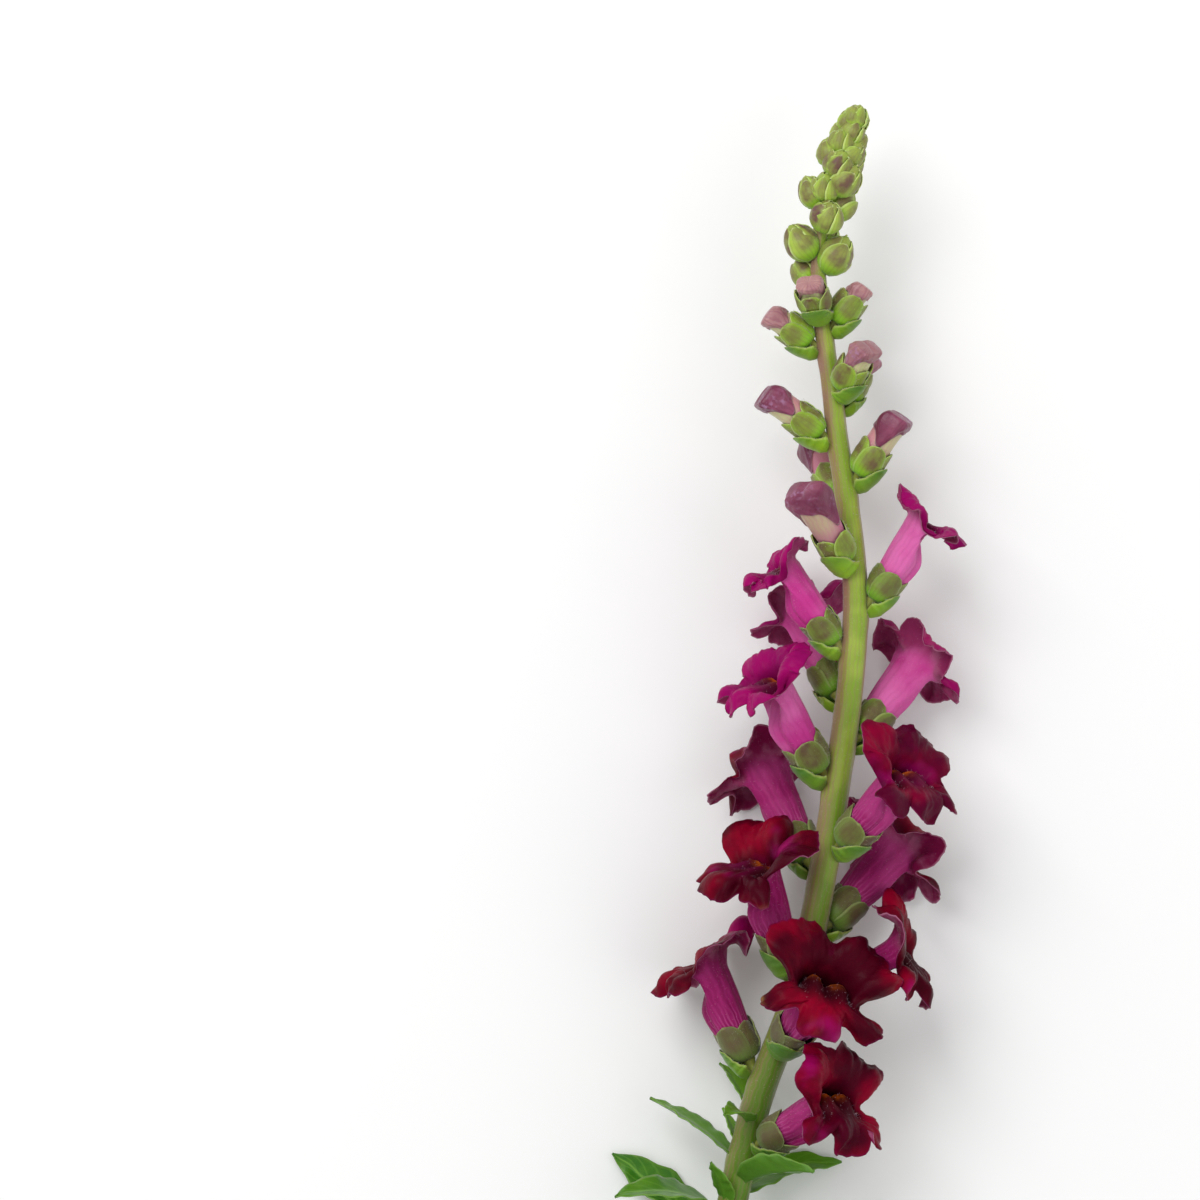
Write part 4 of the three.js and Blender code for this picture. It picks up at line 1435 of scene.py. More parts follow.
@dataclass
class Sepals:
    """Five broad, blunt sepals round a bud or a tube, each overlapping the next.

    Args:
        growth: the frame they grow in.
        profile: rows of ahead and radius of the surface they lie on, from foot to tip.
        half_angle: half of a sepal's width round the axis, in degrees.
        tip_shape: 1 for a blunt tip, more for a pointed one.
        lift: how far the tips stand away from the profile, in millimetres.
        stagger: how much shorter the outermost sepal is than the innermost one, as a share.
        roll: how far one edge lies over the next sepal and the other one under the last, in millimetres.
        seed: which of the family's small waves they have.
        thickness: of a sepal, in millimetres.
        ripple: height of the waves at its edges.
        keel: height of its middle ridge.
        clear: whether they keep clear of the stem.
        age: 0 fresh to 1 old and dull.
        rows: points along a sepal.
        columns: points across it.
        count: of sepals.
        first: azimuth of the first one round the axis, in degrees.
        order: how far out each sepal lies, 0 to 1.
        hair_count: of hairs over all of them.
    """

    growth: Growth
    profile: Points
    half_angle: float
    tip_shape: float
    lift: float
    seed: int
    stagger: float = 0.0
    roll: float = 0.12
    thickness: float = 0.45
    ripple: float = 0.12
    keel: float = 0.18
    clear: bool = True
    age: float = 0.0
    rows: int = 18
    columns: int = 13
    count: int = 5
    first: float = 36.0
    order: tuple[float, ...] = (0.0, 0.55, 0.2, 0.75, 0.4)
    hair_count: int = 360

    def distances(self) -> Points:
        """How far along the profile each of its rows lies."""
        return np.concatenate([[0], np.cumsum(np.linalg.norm(np.diff(self.profile, axis=0), axis=1))])

    def settled(self, reach: Points, angle: Points, ahead: Points) -> Points:
        """Points round the axis, clear of the stem and the table."""
        placed = self.growth.ring(reach, angle, ahead)
        return settle(beside_stem(placed, Layer.CALYX) if self.clear else placed, LEAF_FLOOR)

    def build(self, tissue: Tissue) -> None:
        """Adds the sepals."""
        distance = self.distances()
        t = np.linspace(0, 1, self.rows)[:, None] ** 0.85
        s = np.linspace(-1, 1, self.columns)
        shape = np.clip(1 - np.clip((t - 0.42) / 0.58, 0, 1) ** (2.6 / self.tip_shape), 0, 1) ** 0.5
        half = self.half_angle * DEG * np.maximum(shape, 0.03)
        roll = self.roll * s * smoothstep(t, 0.1, 0.4)
        keel = self.keel * bell(s, 0, 0.35) * smoothstep(t, 0.1, 0.5)
        thick = thinned(self.thickness, s, t, 0.5)
        for k in range(self.count):
            seed, order = self.seed + k, self.order[k]
            length = distance[-1] * (1 - self.stagger * order + 0.04 * jitter(seed, 11))
            ahead, radius = hermite(distance, self.profile, np.minimum(t[:, 0] * length, distance[-1])).T[..., None]
            ahead = ahead + np.maximum(t * length - distance[-1], 0)
            centre = (self.first + 72 * k) * DEG + 0.06 * jitter(seed, 12)
            waves = Waves(self.seed * 7 + k, [3.0, 5.0], [1.4, 2.2])
            ripple = self.ripple * waves.at(2 * math.pi * t, 1.6 * s) * np.abs(s)
            over = 0.8 * self.thickness * (order * 2 - 0.4) * smoothstep(t, 0.02, 0.25)
            tips = self.lift * smoothstep(t, 0.7, 1) * (1 + 0.5 * jitter(seed, 13))
            grid = self.settled(radius + over + roll + keel + ripple + tips, centre + half * s, ahead)
            middle = bell(s, 0.2 * jitter(seed, 14), 0.6) * smoothstep(t, 0.26, 0.56)
            stain = np.clip(1.7 * middle * (1 - 0.3 * smoothstep(t, 0.93, 1)), 0, 1)
            values: Values = {
                "reach": t,
                "across": s,
                "stain": stain * (0.8 + 0.2 * jitter(seed, 15)),
                "age": self.age,
                "edge": rim(s, t),
            }
            tissue.shell(grid, thick, values)

    def down(self, tissue: Tissue) -> None:
        """Adds short glandular hairs over the sepals' outer side."""
        draw = np.random.default_rng(500 + self.seed)
        distance = self.distances()
        t = draw.uniform(0.03, 1, self.hair_count)
        ahead, radius = hermite(distance, self.profile, t * distance[-1]).T
        angle = draw.uniform(0, 2 * math.pi, self.hair_count)
        roots = self.settled(radius + self.thickness * 0.6, angle, ahead)
        outward = self.growth.ring(1, angle, 0) - self.growth.origin
        tissue.hairs(roots, outward, draw, 0.3, (0.35, 0.8), 0.02)


@dataclass
class ClosedBud:
    """A green bud: an egg of furled tissue wrapped in its five sepals."""

    bud: GreenBud
    seed: int
    sides: int = 20

    def profile(self, scale: float, last: float) -> Points:
        """Rows of ahead and radius of the egg, from its foot to a share of its length."""
        t = np.linspace(0.03, last, 14)
        swell = np.sin(math.pi * t**0.85) ** 0.62
        return np.stack([self.bud.length * t - 0.6, self.bud.width / 2 * swell * scale], axis=1)

    def build(self, tissue: Tissue) -> None:
        """Adds the egg and the sepals."""
        growth = Growth.of(self.bud, 0)
        ahead, radius = self.profile(0.9, 0.995).T[..., None]
        angle = turns(self.sides)
        tissue.skin(growth.ring(radius, angle, ahead), {"reach": 0.5, "stain": 0.5})
        Sepals(
            growth,
            self.profile(0.97, 0.98),
            half_angle=56,
            tip_shape=1.05,
            lift=0.05,
            seed=self.seed,
            stagger=0.2,
            roll=0.3,
            thickness=0.42,
            clear=False,
            rows=17,
            first=36 + 36 * jitter(self.seed, 16),
        ).build(tissue)


@dataclass
class Crown:
    """The tight spiral of the youngest buds. Each pair runs from the lowest bud to the last one below the tip."""

    count: int = 12
    stations: tuple[float, float] = (245.5, 256.8)
    leans: tuple[float, float] = (36, 12)
    widths: tuple[float, float] = (7, 4.2)
    lengths: tuple[float, float] = (8, 5.6)
    tip: GreenBud = GreenBud(256.9, 20, 4, 5.2, 6.4)

    def buds(self) -> list[GreenBud]:
        """The spiral's buds and the one at the tip."""
        made = []
        for i in range(self.count):
            t = i / (self.count - 1)
            station, lean, width, length = (
                lerp(*pair, t) for pair in (self.stations, self.leans, self.widths, self.lengths)
            )
            made.append(GreenBud(station, GOLDEN_TURN * i, lean, width, length))
        return [*made, self.tip]


# The cups that sepals form: ahead and radius, from the foot to the tips. Both grow with the flower.
CALYX_PROFILE = [[-0.9, 1.6], [-0.5, 3.1], [1.8, 4.25], [5.0, 4.6], [8.2, 4.7]]
BUD_CALYX_PROFILE = [[-0.9, 1.6], [-0.5, 3.1], [1.8, 4.2], [5.0, 4.3], [8.2, 4.15]]


def bud_calyx(bud: Bud) -> tuple[float, float]:
    """Length and girth scales of a coloured bud's calyx."""
    return BUD_CALYX[0] + BUD_CALYX[1] * bud.size, BUD_GIRTH[0] + BUD_GIRTH[1] * math.sqrt(bud.size)


def calyx(growth: Growth, rows: list[list[float]], length: float, girth: float, seed: int, age: float = 0) -> Sepals:
    """The five sepals of a bloom or coloured bud, from a profile with length and girth as scales."""
    return Sepals(growth, np.array(rows) * [length, girth], 49, 0.95, 0.1, seed, age=age)


# ---- corolla ----

# The tube: ahead of the calyx foot, half width, half height, shift to the dorsal side.
TUBE = [[0.6, 3.1, 3.1, 0], [13, 5.1, 4.9, -0.1]]
SHOULDER_AHEAD, SHOULDER_WIDTH, SHOULDER_HEIGHT = 18.6, 5.8, 5.3
MOUTH_AHEAD, MOUTH_WIDTH, MOUTH_HEIGHT = 22.0, 6.7, 5.7
UPPER_LOBE, LOWER_LOBE = 14.5, 10.5
PALATE_HEIGHT, PALATE_GROOVE, PALATE_GROOVE_WIDTH, PALATE_BASE = 4.6, 0.42, 0.3, -1.0
CREST_BACK, CREST_WIDTH = 0.6, 0.95  # the palate's crest: behind the rim, and width as a share of the rim's
# The lower lobes' foot: the same share, height at the sides, drop in the middle, ahead of the rim in the
# middle, and how much less at the sides.
LIP_WIDTH, LIP_ABOVE, LIP_DROP, LIP_AHEAD, LIP_SIDES = 1.04, -2.2, 1.8, 3.4, 2
LOBE_SHARES = [0.34, 0.34, 0.32]
UPPER_TURNS = ([10, 55, 105], [28, 70, 112])  # opening, open
LOWER_TURNS = ([60, 115], [84, 130])
LOBE_CLEFTS = [[0, 12, 0.38], [90, 12, 0.78], [150, 9, 0.5]]  # where, width, depth, in degrees and shares
RUFFLE_HEIGHT, RUFFLE_WAVES = 1.1, 7


@dataclass
class Corolla:
    """A bloom's petals: one tube that opens in an upper lip of two lobes and a lower lip of three.

    Args:
        bloom: the flower.
        growth: its frame.
        seed: which of the family's small waves it has.
        columns: points round it.
        segment_rows: points along it from each ring of the CAD model to the next.
        thickness: of the tube.
        thinning: how much thinner the lobes' edges are.
        fold_heights: height of the lobes' wide, narrow and finest folds.
        curl: how far the lobes' edges roll.
        rib: height of the tube's ribs.
        boss: how far the palate's bosses swell.
        beard_count: of hairs in the mouth.
        down_count: of hairs outside.
    """

    bloom: Bloom
    growth: Growth
    seed: int
    columns: int = 132
    segment_rows: tuple[int, ...] = (7, 6, 6, 6, 8, 9)
    thickness: float = 0.5
    thinning: float = 0.28
    fold_heights: tuple[float, float, float] = (1.6, 0.38, 0.09)
    curl: float = 1.3
    rib: float = 0.1
    boss: float = 1.5
    beard_count: int = 420
    down_count: int = 800

    def lobe_reach(self, degrees: Points) -> Points:
        """Reach of the lobes beyond the mouth, by degrees from the cleft of the upper lip."""
        angle = np.where(degrees > 180, 360 - degrees, degrees)
        upper = UPPER_LOBE * lerp(0.62, 1, self.bloom.open)
        lower = LOWER_LOBE * lerp(0.7, 1, self.bloom.open)
        reach = lerp(upper, lower, smoothstep(angle, 80, 100))
        for centre, width, depth in LOBE_CLEFTS:
            reach = reach * (1 - depth * bell(angle, centre, width))
        return reach

    def ragged_reach(self, degrees: Points) -> Points:
        """The same reach with a ragged outline."""
        broad = Waves(self.seed, [5, 8, 11], [0, 0, 0]).at(degrees * DEG, 0.0)
        fine = Waves(self.seed + 5, [17, 29, 43], [0, 0, 0]).at(degrees * DEG, 0.0)
        return self.lobe_reach(degrees) * (1 + (0.05 * broad + 0.028 * fine))

    @staticmethod
    def palate_top(share: Points) -> Points:
        """Top of the palate across the mouth: two bosses with a groove between them."""
        arch = 1 - share * share
        groove = 1 - PALATE_GROOVE * bell(share, 0, PALATE_GROOVE_WIDTH)
        return PALATE_BASE + PALATE_HEIGHT * arch * groove

    @staticmethod
    def lobe_path(start: list, sin: Points, cos: Points, reach: Points, steps: list[tuple[float, float]]) -> list:
        """A path from a rim point that turns away from forward by steps of share and angle."""
        across, above, ahead = start
        for share, turn in steps:
            out = reach * share * math.sin(turn * DEG)
            across = across + sin * out
            above = above + cos * out
            ahead = ahead + reach * share * math.cos(turn * DEG)
        return [across, above, ahead]

    def upper_lip(self, ring: int, degrees: Points) -> list:
        """Ring 0 is the shoulder, 1 the rim and 2 to 4 the lobes of the upper lip."""
        sin, cos = np.sin(degrees * DEG), np.cos(degrees * DEG)
        if ring == 0:
            return [SHOULDER_WIDTH * sin, SHOULDER_HEIGHT * cos, SHOULDER_AHEAD]
        rim_point = [MOUTH_WIDTH * sin, MOUTH_HEIGHT * cos, MOUTH_AHEAD]
        turns = [lerp(a, b, self.bloom.open) for a, b in zip(*UPPER_TURNS)]
        steps = list(zip(LOBE_SHARES, turns))[: ring - 1]
        return self.lobe_path(rim_point, sin, cos, self.ragged_reach(degrees), steps)

    def lower_lip(self, ring: int, degrees: Points) -> list:
        """Ring 0 is the shoulder, 1 the palate's crest, 2 its foot and 3 to 4 the lobes of the lower lip."""
        sin, cos = np.sin(degrees * DEG), np.cos(degrees * DEG)
        down, top = np.abs(cos), self.palate_top(sin)
        if ring == 0:
            return [SHOULDER_WIDTH * sin, lerp(-SHOULDER_HEIGHT * down, top, 0.5), SHOULDER_AHEAD - CREST_BACK]
        if ring == 1:
            return [MOUTH_WIDTH * CREST_WIDTH * sin, top, MOUTH_AHEAD - CREST_BACK]
        foot_ahead = MOUTH_AHEAD + LIP_AHEAD - LIP_SIDES * sin * sin
        foot = [MOUTH_WIDTH * LIP_WIDTH * sin, LIP_ABOVE - LIP_DROP * down, foot_ahead]
        steps = [(0.5, lerp(a, b, self.bloom.open)) for a, b in zip(*LOWER_TURNS)][: ring - 2]
        return self.lobe_path(foot, sin, cos, self.ragged_reach(degrees), steps)

    def control(self, degrees: Points) -> Points:
        """The CAD model's rings at any angles: rings by angles of across, above, ahead."""
        sin, cos = np.sin(degrees * DEG), np.cos(degrees * DEG)
        rows = [[width * sin, shift + height * cos, ahead + 0 * sin] for ahead, width, height, shift in TUBE]
        share = smoothstep(cos, -0.12, 0.12)
        ruffle = RUFFLE_HEIGHT * lerp(0.4, 1, self.bloom.open)
        wave = ruffle * np.sin(degrees * DEG * RUFFLE_WAVES + self.bloom.station)
        for ring in range(5):
            upper, lower = self.upper_lip(ring, degrees), self.lower_lip(ring, degrees)
            across, above, ahead = (lerp(low, high, share) for low, high in zip(lower, upper))
            rows.append([across, above, ahead + wave * max(0, ring - 2) / 2])
        return np.moveaxis(np.array(rows), 1, 2)

    def surface(self) -> tuple[Points, dict[str, Points]]:
        """The fine middle surface in the plant's frame, and its named values."""
        degrees = 360 * np.arange(self.columns) / self.columns
        rings = self.control(degrees)
        knots = np.concatenate([[0], np.cumsum(np.linalg.norm(np.diff(rings, axis=0), axis=2).mean(axis=1))])
        spans = [np.linspace(*span, endpoint=False) for span in zip(knots, knots[1:], self.segment_rows)]
        at = np.concatenate([*spans, knots[-1:]])
        local = hermite(knots, rings, at)
        lip = np.clip((at - knots[3]) / (knots[-1] - knots[3]), 0, 1)[:, None] * np.ones((1, self.columns))
        local = local + self.folds(local, lip, degrees * DEG)
        values = self.masks(local, lip, at[:, None] / knots[-1], degrees)
        floor = REST_FLOOR if self.bloom.rests else LEAF_FLOOR - 0.2
        placed = self.growth.place(*np.moveaxis(local * self.bloom.size, 2, 0))
        return settle(beside_stem(placed, Layer.PETALS), floor), values

    def folds(self, local: Points, lip: Points, around: Points) -> Points:
        """Folds, puckers and curled edges, as moves along the surface's normals."""
        broad = Waves(self.seed + 1, [3, 4, 6], [2.2, 3.0, 1.4]).at(around, 2 * lip)
        fine = Waves(self.seed + 2, [13, 19, 26], [2.0, 4.0, 6.0]).at(around, 2 * lip)
        pucker = Waves(self.seed + 3, [31, 43, 52], [9.0, 5.0, 12.0]).at(around, 3 * lip)
        wide, narrow, finest = self.fold_heights
        wave = wide * broad * lip**1.1 + narrow * fine * lip**1.6 + finest * pucker * smoothstep(lip, 0.1, 0.6)
        curls = Waves(self.seed + 4, [2, 3, 5], [0, 0, 0]).at(around, lip)
        wave = wave + self.curl * curls * smoothstep(lip, 0.6, 1.0) ** 2
        ribs = self.rib * np.sin(12 * around) * smoothstep(local[..., 2], 2, 12) * (1 - smoothstep(lip, 0, 0.3))
        bosses = bell(np.abs(np.sin(around)), 0.5, 0.26) * smoothstep(-np.cos(around), 0.1, 0.5)
        swollen = self.boss * bosses * bell(lip, 0.1, 0.17)
        return grid_normals(local, True) * (wave + ribs - swollen)[..., None]

    def masks(self, local: Points, lip: Points, reach: Points, degrees: Points) -> dict[str, Points]:
        """Named values for the finish: skin areas, spots and edge."""
        cos, sin, ahead = np.cos(degrees * DEG), np.sin(degrees * DEG), local[..., 2]
        under = smoothstep(-cos, -0.05, 0.25)
        crest = bell(ahead, MOUTH_AHEAD - 0.4, 3.4) * under
        boss = bell(np.abs(sin), 0.42, 0.16)
        spots = boss * bell(ahead, MOUTH_AHEAD - 0.3, 1.3) * under * bell(local[..., 1], 2.2, 2.0)
        inside = 1 - smoothstep(ahead, MOUTH_AHEAD - 5, MOUTH_AHEAD - 1)
        return {
            "age": np.array(self.bloom.open),
            "reach": reach,
            "lip": lip,
            "turn": degrees / 360,
            "palate": np.clip(1.6 * crest, 0, 1) * (1 - smoothstep(lip, 0.3, 0.55)),
            "throat": (1 - smoothstep(ahead, MOUTH_AHEAD - 2, MOUTH_AHEAD + 4)) * (1 - under),
            "gold": bell(ahead, MOUTH_AHEAD - 4, 3.0) * inside * under,
            "glow": np.clip(1.6 * spots, 0, 1),
            "edge": smoothstep(lip, 0.965, 1.0),
        }

    def build(self, tissue: Tissue) -> None:
        """Adds the petals as one sheet that thins to its edge."""
        grid, values = self.surface()
        tissue.shell(grid, self.thickness - self.thinning * smoothstep(values["lip"], 0.5, 1), values, closed=True)
        foot = grid[0].mean(axis=0) - self.growth.forward * 0.4
        tissue.close(grid[0], foot, {"age": self.bloom.open})

    def beard(self, tissue: Tissue) -> None:
        """Adds short hairs on the palate and inside the mouth."""
        grid, values = self.surface()
        draw = np.random.default_rng(700 + self.seed)
        weight = (values["palate"] ** 2 + 0.6 * values["gold"]).ravel()
        chosen = draw.choice(weight.size, size=self.beard_count, p=weight / weight.sum())
        roots = grid.reshape(-1, 3)[chosen] + draw.normal(0, 0.18, (self.beard_count, 3))
        inward = -grid_normals(grid, True).reshape(-1, 3)[chosen]
        gold = np.clip(values["gold"].ravel()[chosen] * 1.5, 0, 1)
        tissue.hairs(roots, inward, draw, 0.3, (0.4, 0.95), 0.03, gold)

    def down(self, tissue: Tissue) -> None:
        """Adds sparse pale hairs along the outside of the tube and the backs of the lips."""
        grid, values = self.surface()
        draw = np.random.default_rng(800 + self.seed)
        weight = (1 - 0.6 * values["lip"]).ravel()
        chosen = draw.choice(weight.size, size=self.down_count, p=weight / weight.sum())
        outward = grid_normals(grid, True).reshape(-1, 3)[chosen]
        tissue.hairs(grid.reshape(-1, 3)[chosen] + outward * 0.2, outward, draw, 0.35, (0.25, 0.6), 0.022)


# ---- coloured buds ----

# Furled petals: ahead, half width, half height, shift to the dorsal side.
FURLED = [
    [0.7, 2.3, 2.3, 0],
    [4, 3.2, 3.15, 0],
    [7, 3.55, 3.45, 0],
    [11.8, 3.95, 3.75, 0],
    [15, 4.2, 3.9, -0.1],
    [18.3, 4.4, 3.75, -0.4],
    [20.4, 4.3, 3.4, -0.8],
    [21.1, 3.95, 3.0, -0.95],
]
HEM = (11.6, 1.5, 3.0, 5)  # of the cap: ahead, further back at the flanks, further ahead above and below


@dataclass
class FurledPetals:
    """The petals of a coloured bud: a body with the upper lip folded over its end like a cap.

    Args:
        bud: the bud.
        growth: its frame.
        seed: which of the family's small waves it has.
        columns: points round it.
        body_rows: points along the body.
        cap_rows: points along the cap.
        hood: how far the cap stands out over the body.
        cleft: depth of the cap's upper groove, as a share of its girth.
        crease: depth of the creases, in the same way.
    """

    bud: Bud
    growth: Growth
    seed: int
    columns: int = 72
    body_rows: int = 20
    cap_rows: int = 26
    hood: float = 0.4
    cleft: float = 0.1
    crease: float = 0.028

    def hem(self, angle: Points) -> Points:
        """Where the cap's hem lies ahead of the foot: furthest back at the flanks, forward above and below."""
        above = smoothstep(np.cos(angle), 0.0, 0.9)
        below = smoothstep(-np.cos(angle), 0.2, 0.95)
        flanks = bell(-np.cos(angle), 0.15, 0.45)
        waves = Waves(self.seed, [2, 3, 5], [0, 0, 0]).at(angle, 0.0)
        return HEM[0] - HEM[1] * flanks + HEM[2] * above + HEM[3] * below + 0.4 * waves

    def section(self, ahead: Points, angle: Points, boxy: Points, swell: Points) -> tuple[Points, Points]:
        """Across and above of the outline at a place ahead, from round to boxy."""
        flat = np.clip(ahead.ravel(), FURLED[0][0], FURLED[-1][0])
        width, height, shift = along(FURLED, flat).T.reshape(3, *ahead.shape)
        power = 2 / lerp(2, 4.4, boxy)
        sin, cos = np.sin(angle), np.cos(angle)
        across = np.sign(sin) * np.abs(sin) ** power * (width + swell)
        above = np.sign(cos) * np.abs(cos) ** power * (height + swell) + shift
        return across, above

    def surface(self) -> tuple[Points, Values]:
        """Rings from the foot to the folded end, with a true step at the hem."""
        angle = turns(self.columns)
        hem = self.hem(angle)
        start, end = FURLED[0][0], FURLED[-1][0]
        body = start + (hem + 0.5 - start) * np.linspace(0, 1, self.body_rows)[:, None]
        cap_share = np.linspace(0, 1, self.cap_rows)[:, None]
        ahead = np.concatenate([body, hem - 0.15 + (end - hem + 0.15) * cap_share**0.9])
        is_cap = (np.arange(len(ahead)) >= self.body_rows)[:, None].astype(float)
        share = np.concatenate([np.zeros((self.body_rows, 1)), cap_share])
        swell = self.hood * is_cap * (0.75 + 0.5 * np.sin(math.pi * np.clip(share, 0, 1) ** 0.8))
        boxy = is_cap * smoothstep(share, 0.05, 0.7) * smoothstep(self.bud.size, 0.1, 0.85)
        across, above = self.section(ahead, angle, boxy, swell)
        clefts = bell(np.angle(np.exp(1j * angle)), 0, 0.16) * is_cap
        creases = Waves(self.seed + 1, [3, 5, 9, 14], [1.5, 3.0, 2.0, 4.0]).at(angle, 3 * share)
        shrink = 1 - self.cleft * clefts * smoothstep(share, 0, 0.5)
        shrink = shrink + self.crease * creases * (0.35 + 0.65 * is_cap)
        local = np.stack([across * shrink, above * shrink, ahead], axis=2)
        end_face = self.end_face(local[-1])
        closed = np.ones((len(end_face), 1))
        local = np.concatenate([local, end_face])
        share, is_cap = np.concatenate([share, closed]), np.concatenate([is_cap, closed])
        values: Values = {
            "cap": is_cap,
            "reach": local[..., 2] / end,
            "turn": angle / (2 * math.pi),
            "age": smoothstep(self.bud.size, 0.42, 1.0),
            "edge": is_cap * (1 - smoothstep(share, 0.0, 0.035)),
            "flank": smoothstep(np.cos(angle), -1.0, 0.7),
        }
        cap_girth = math.sqrt(self.bud.size)
        body_girth = BUD_BODY[0] + BUD_BODY[1] * cap_girth
        girth = lerp(body_girth, cap_girth, smoothstep(local[..., 2], 8, 15))
        placed = self.growth.place(local[..., 0] * girth, local[..., 1] * girth, local[..., 2] * self.bud.size)
        return beside_stem(placed, Layer.PETALS), values

    @staticmethod
    def end_face(ring: Points) -> Points:
        """Rings of the blunt, creased face that closes the cap."""
        centre = ring.mean(axis=0)
        rings = []
        for part in (0.94, 0.8, 0.6, 0.4, 0.2, 0.0):
            inner = centre + (ring - centre) * part
            bulge = 0.5 * (1 - part**2) - 0.5 * bell(inner[:, 0], 0, 0.7) * (1 - part**4)
            inner[:, 2] += bulge + 0.18 * (1 - part)
            rings.append(inner)
        return np.array(rings)

    def build(self, tissue: Tissue) -> None:
        """Adds the furled petals and closes their foot."""
        rings, values = self.surface()
        tissue.skin(rings, values)
        tissue.close(rings[0], rings[0].mean(axis=0), {"age": 0.5})


# ---- the plant ----


class Snapdragon:
    """The whole cut stem: builds each sub-assembly and ties it to the CAD frame."""

    def __init__(self) -> None:
        """Makes the finishes and the frames of all flowers."""
        self.stem_skin = StemFinish("stem_skin", roughness=0.42, sheen=0.25, through=0.08).material()
        self.leaf_skin = LeafFinish("leaf_skin", roughness=0.3, sheen=0.0, through=0.12, grain=0.06).material()
        self.bract_skin = LeafFinish(
            "bract_skin",
            roughness=0.42,
            sheen=0.1,
            through=0.15,
            young=(0.31, 0.52, 0.015),
            old=(0.07, 0.20, 0.012),
            under=(0.27, 0.49, 0.015),
            under_old=(0.07, 0.18, 0.02),
            rim=(0.42, 0.48, 0.12),
        ).material()
        self.sepal_skin = SepalFinish("sepal_skin", sheen=0.15, grain=0.08).material()
        self.bud_sepal_skin = SepalFinish(
            "bud_sepal_skin",
            roughness=0.45,
            sheen=0.15,
            through=0.12,
            base=(0.20, 0.45, 0.012),
            body=(0.28, 0.45, 0.03),
            stain=(0.12, 0.05, 0.035),
            rim=(0.48, 0.58, 0.20),
        ).material()
        self.green_skin = SepalFinish(
            "green_bud_skin",
            roughness=0.45,
            sheen=0.12,
            through=0.12,
            base=(0.25, 0.49, 0.02),
            body=(0.41, 0.57, 0.07),
            stain=(0.13, 0.05, 0.05),
            rim=(0.66, 0.74, 0.32),
            staining=1.0,
        ).material()
        self.petal_skin = PetalFinish(
            "petal_skin", roughness=0.36, sheen=0.0, through=0.05, grain=0.09, gloss=0.04
        ).material()
        self.bud_skin = BudFinish(
            "bud_skin", roughness=0.38, sheen=0.1, through=0.08, grain=0.1, gloss=0.4
        ).material()
        self.hair_skin = HairFinish("hair_skin", roughness=0.4, sheen=0.0, through=0.3, grain=0.0).material()
        self.beard_skin = BeardFinish("beard_skin", roughness=0.4, sheen=0.0, through=0.3, grain=0.0).material()
        self.green = Piece("leafy_stem", "green_growth")
        self.blooms = [
            (f"bloom_{i + 1:02d}", bloom, Growth.of(bloom, BLOOM_STALK * bloom.size))
            for i, bloom in enumerate(BLOOMS)
        ]
        self.buds = [
            (f"bud_{i + 1:02d}", bud, Growth.of(bud, BUD_STALK[0] + BUD_STALK[1] * bud.size))
            for i, bud in enumerate(BUDS)
        ]

    def build_stem(self) -> None:
        """The stem, its down and the pedicels."""
        nodes = [(item.station - 3, item.azimuth) for item in [*BLOOMS, *BUDS, *GREEN_BUDS]]
        nodes += [(leaf.station - 1, leaf.azimuth) for _, leaf in Foliage().leaves()]
        rod = StemRod(nodes)
        self.green.grow("stem", self.stem_skin, rod.build)
        self.green.grow("stem_down", self.hair_skin, rod.down)
        stalks = [Pedicel(growth, item.size).build for _, item, growth in [*self.blooms, *self.buds]]
        self.green.grow("pedicels", self.stem_skin, *stalks)

    def build_foliage(self) -> None:
        """Leaves, side leaves and bracts, with their hairs."""
        for name, leaf in Foliage().leaves():
            self.green.grow(name, self.leaf_skin, leaf.build)
        held = [(name, growth, item.size, item.size, 0.3 + 0.25 * item.open) for name, item, growth in self.blooms]
        held += [(name, growth, *bud_calyx(item), 0.25) for name, item, growth in self.buds]
        hairs = []
        for i, (name, *sizes) in enumerate(held):
            bract = Bract(*sizes, seed=400 + i)
            self.green.grow(f"bract_of_{name}", self.bract_skin, bract.build)
            hairs.append(bract.rim_hairs)
        self.green.grow("bract_hairs", self.hair_skin, *hairs)

    def build_green_buds(self) -> None:
        """The closed green buds and the crown of the youngest ones."""
        for kind, buds, seed in (("green", GREEN_BUDS, 20), ("crown", Crown().buds(), 200)):
            for i, bud in enumerate(buds):
                self.green.grow(f"{kind}_bud_{i + 1:02d}", self.green_skin, ClosedBud(bud, seed + 5 * i).build)

    def build_calyx(self, name: str, sepals: Sepals, skin: bpy.types.Material) -> None:
        """One calyx and its glandular hairs."""
        piece = Piece(f"{name}_calyx", "calyx")
        piece.grow(f"sepals_of_{name}", skin, sepals.build)
        piece.grow(f"sepal_hairs_of_{name}", self.hair_skin, sepals.down)

    def build_blooms(self) -> None:
        """The blooms: calyx, petals, beard and down."""
        for i, (name, bloom, growth) in enumerate(self.blooms):
            age = float(1 - smoothstep(bloom.station, 30, 130))
            sepals = calyx(growth, CALYX_PROFILE, bloom.size, bloom.size, 1000 + 10 * i, age)
            self.build_calyx(name, sepals, self.sepal_skin)
            piece = Piece(f"{name}_corolla", "bloom_petals")
            corolla = Corolla(bloom, growth, 2000 + 10 * i)
            piece.grow(f"petals_of_{name}", self.petal_skin, corolla.build)
            piece.grow(f"beard_of_{name}", self.beard_skin, corolla.beard)
            piece.grow(f"down_of_{name}", self.beard_skin, corolla.down)

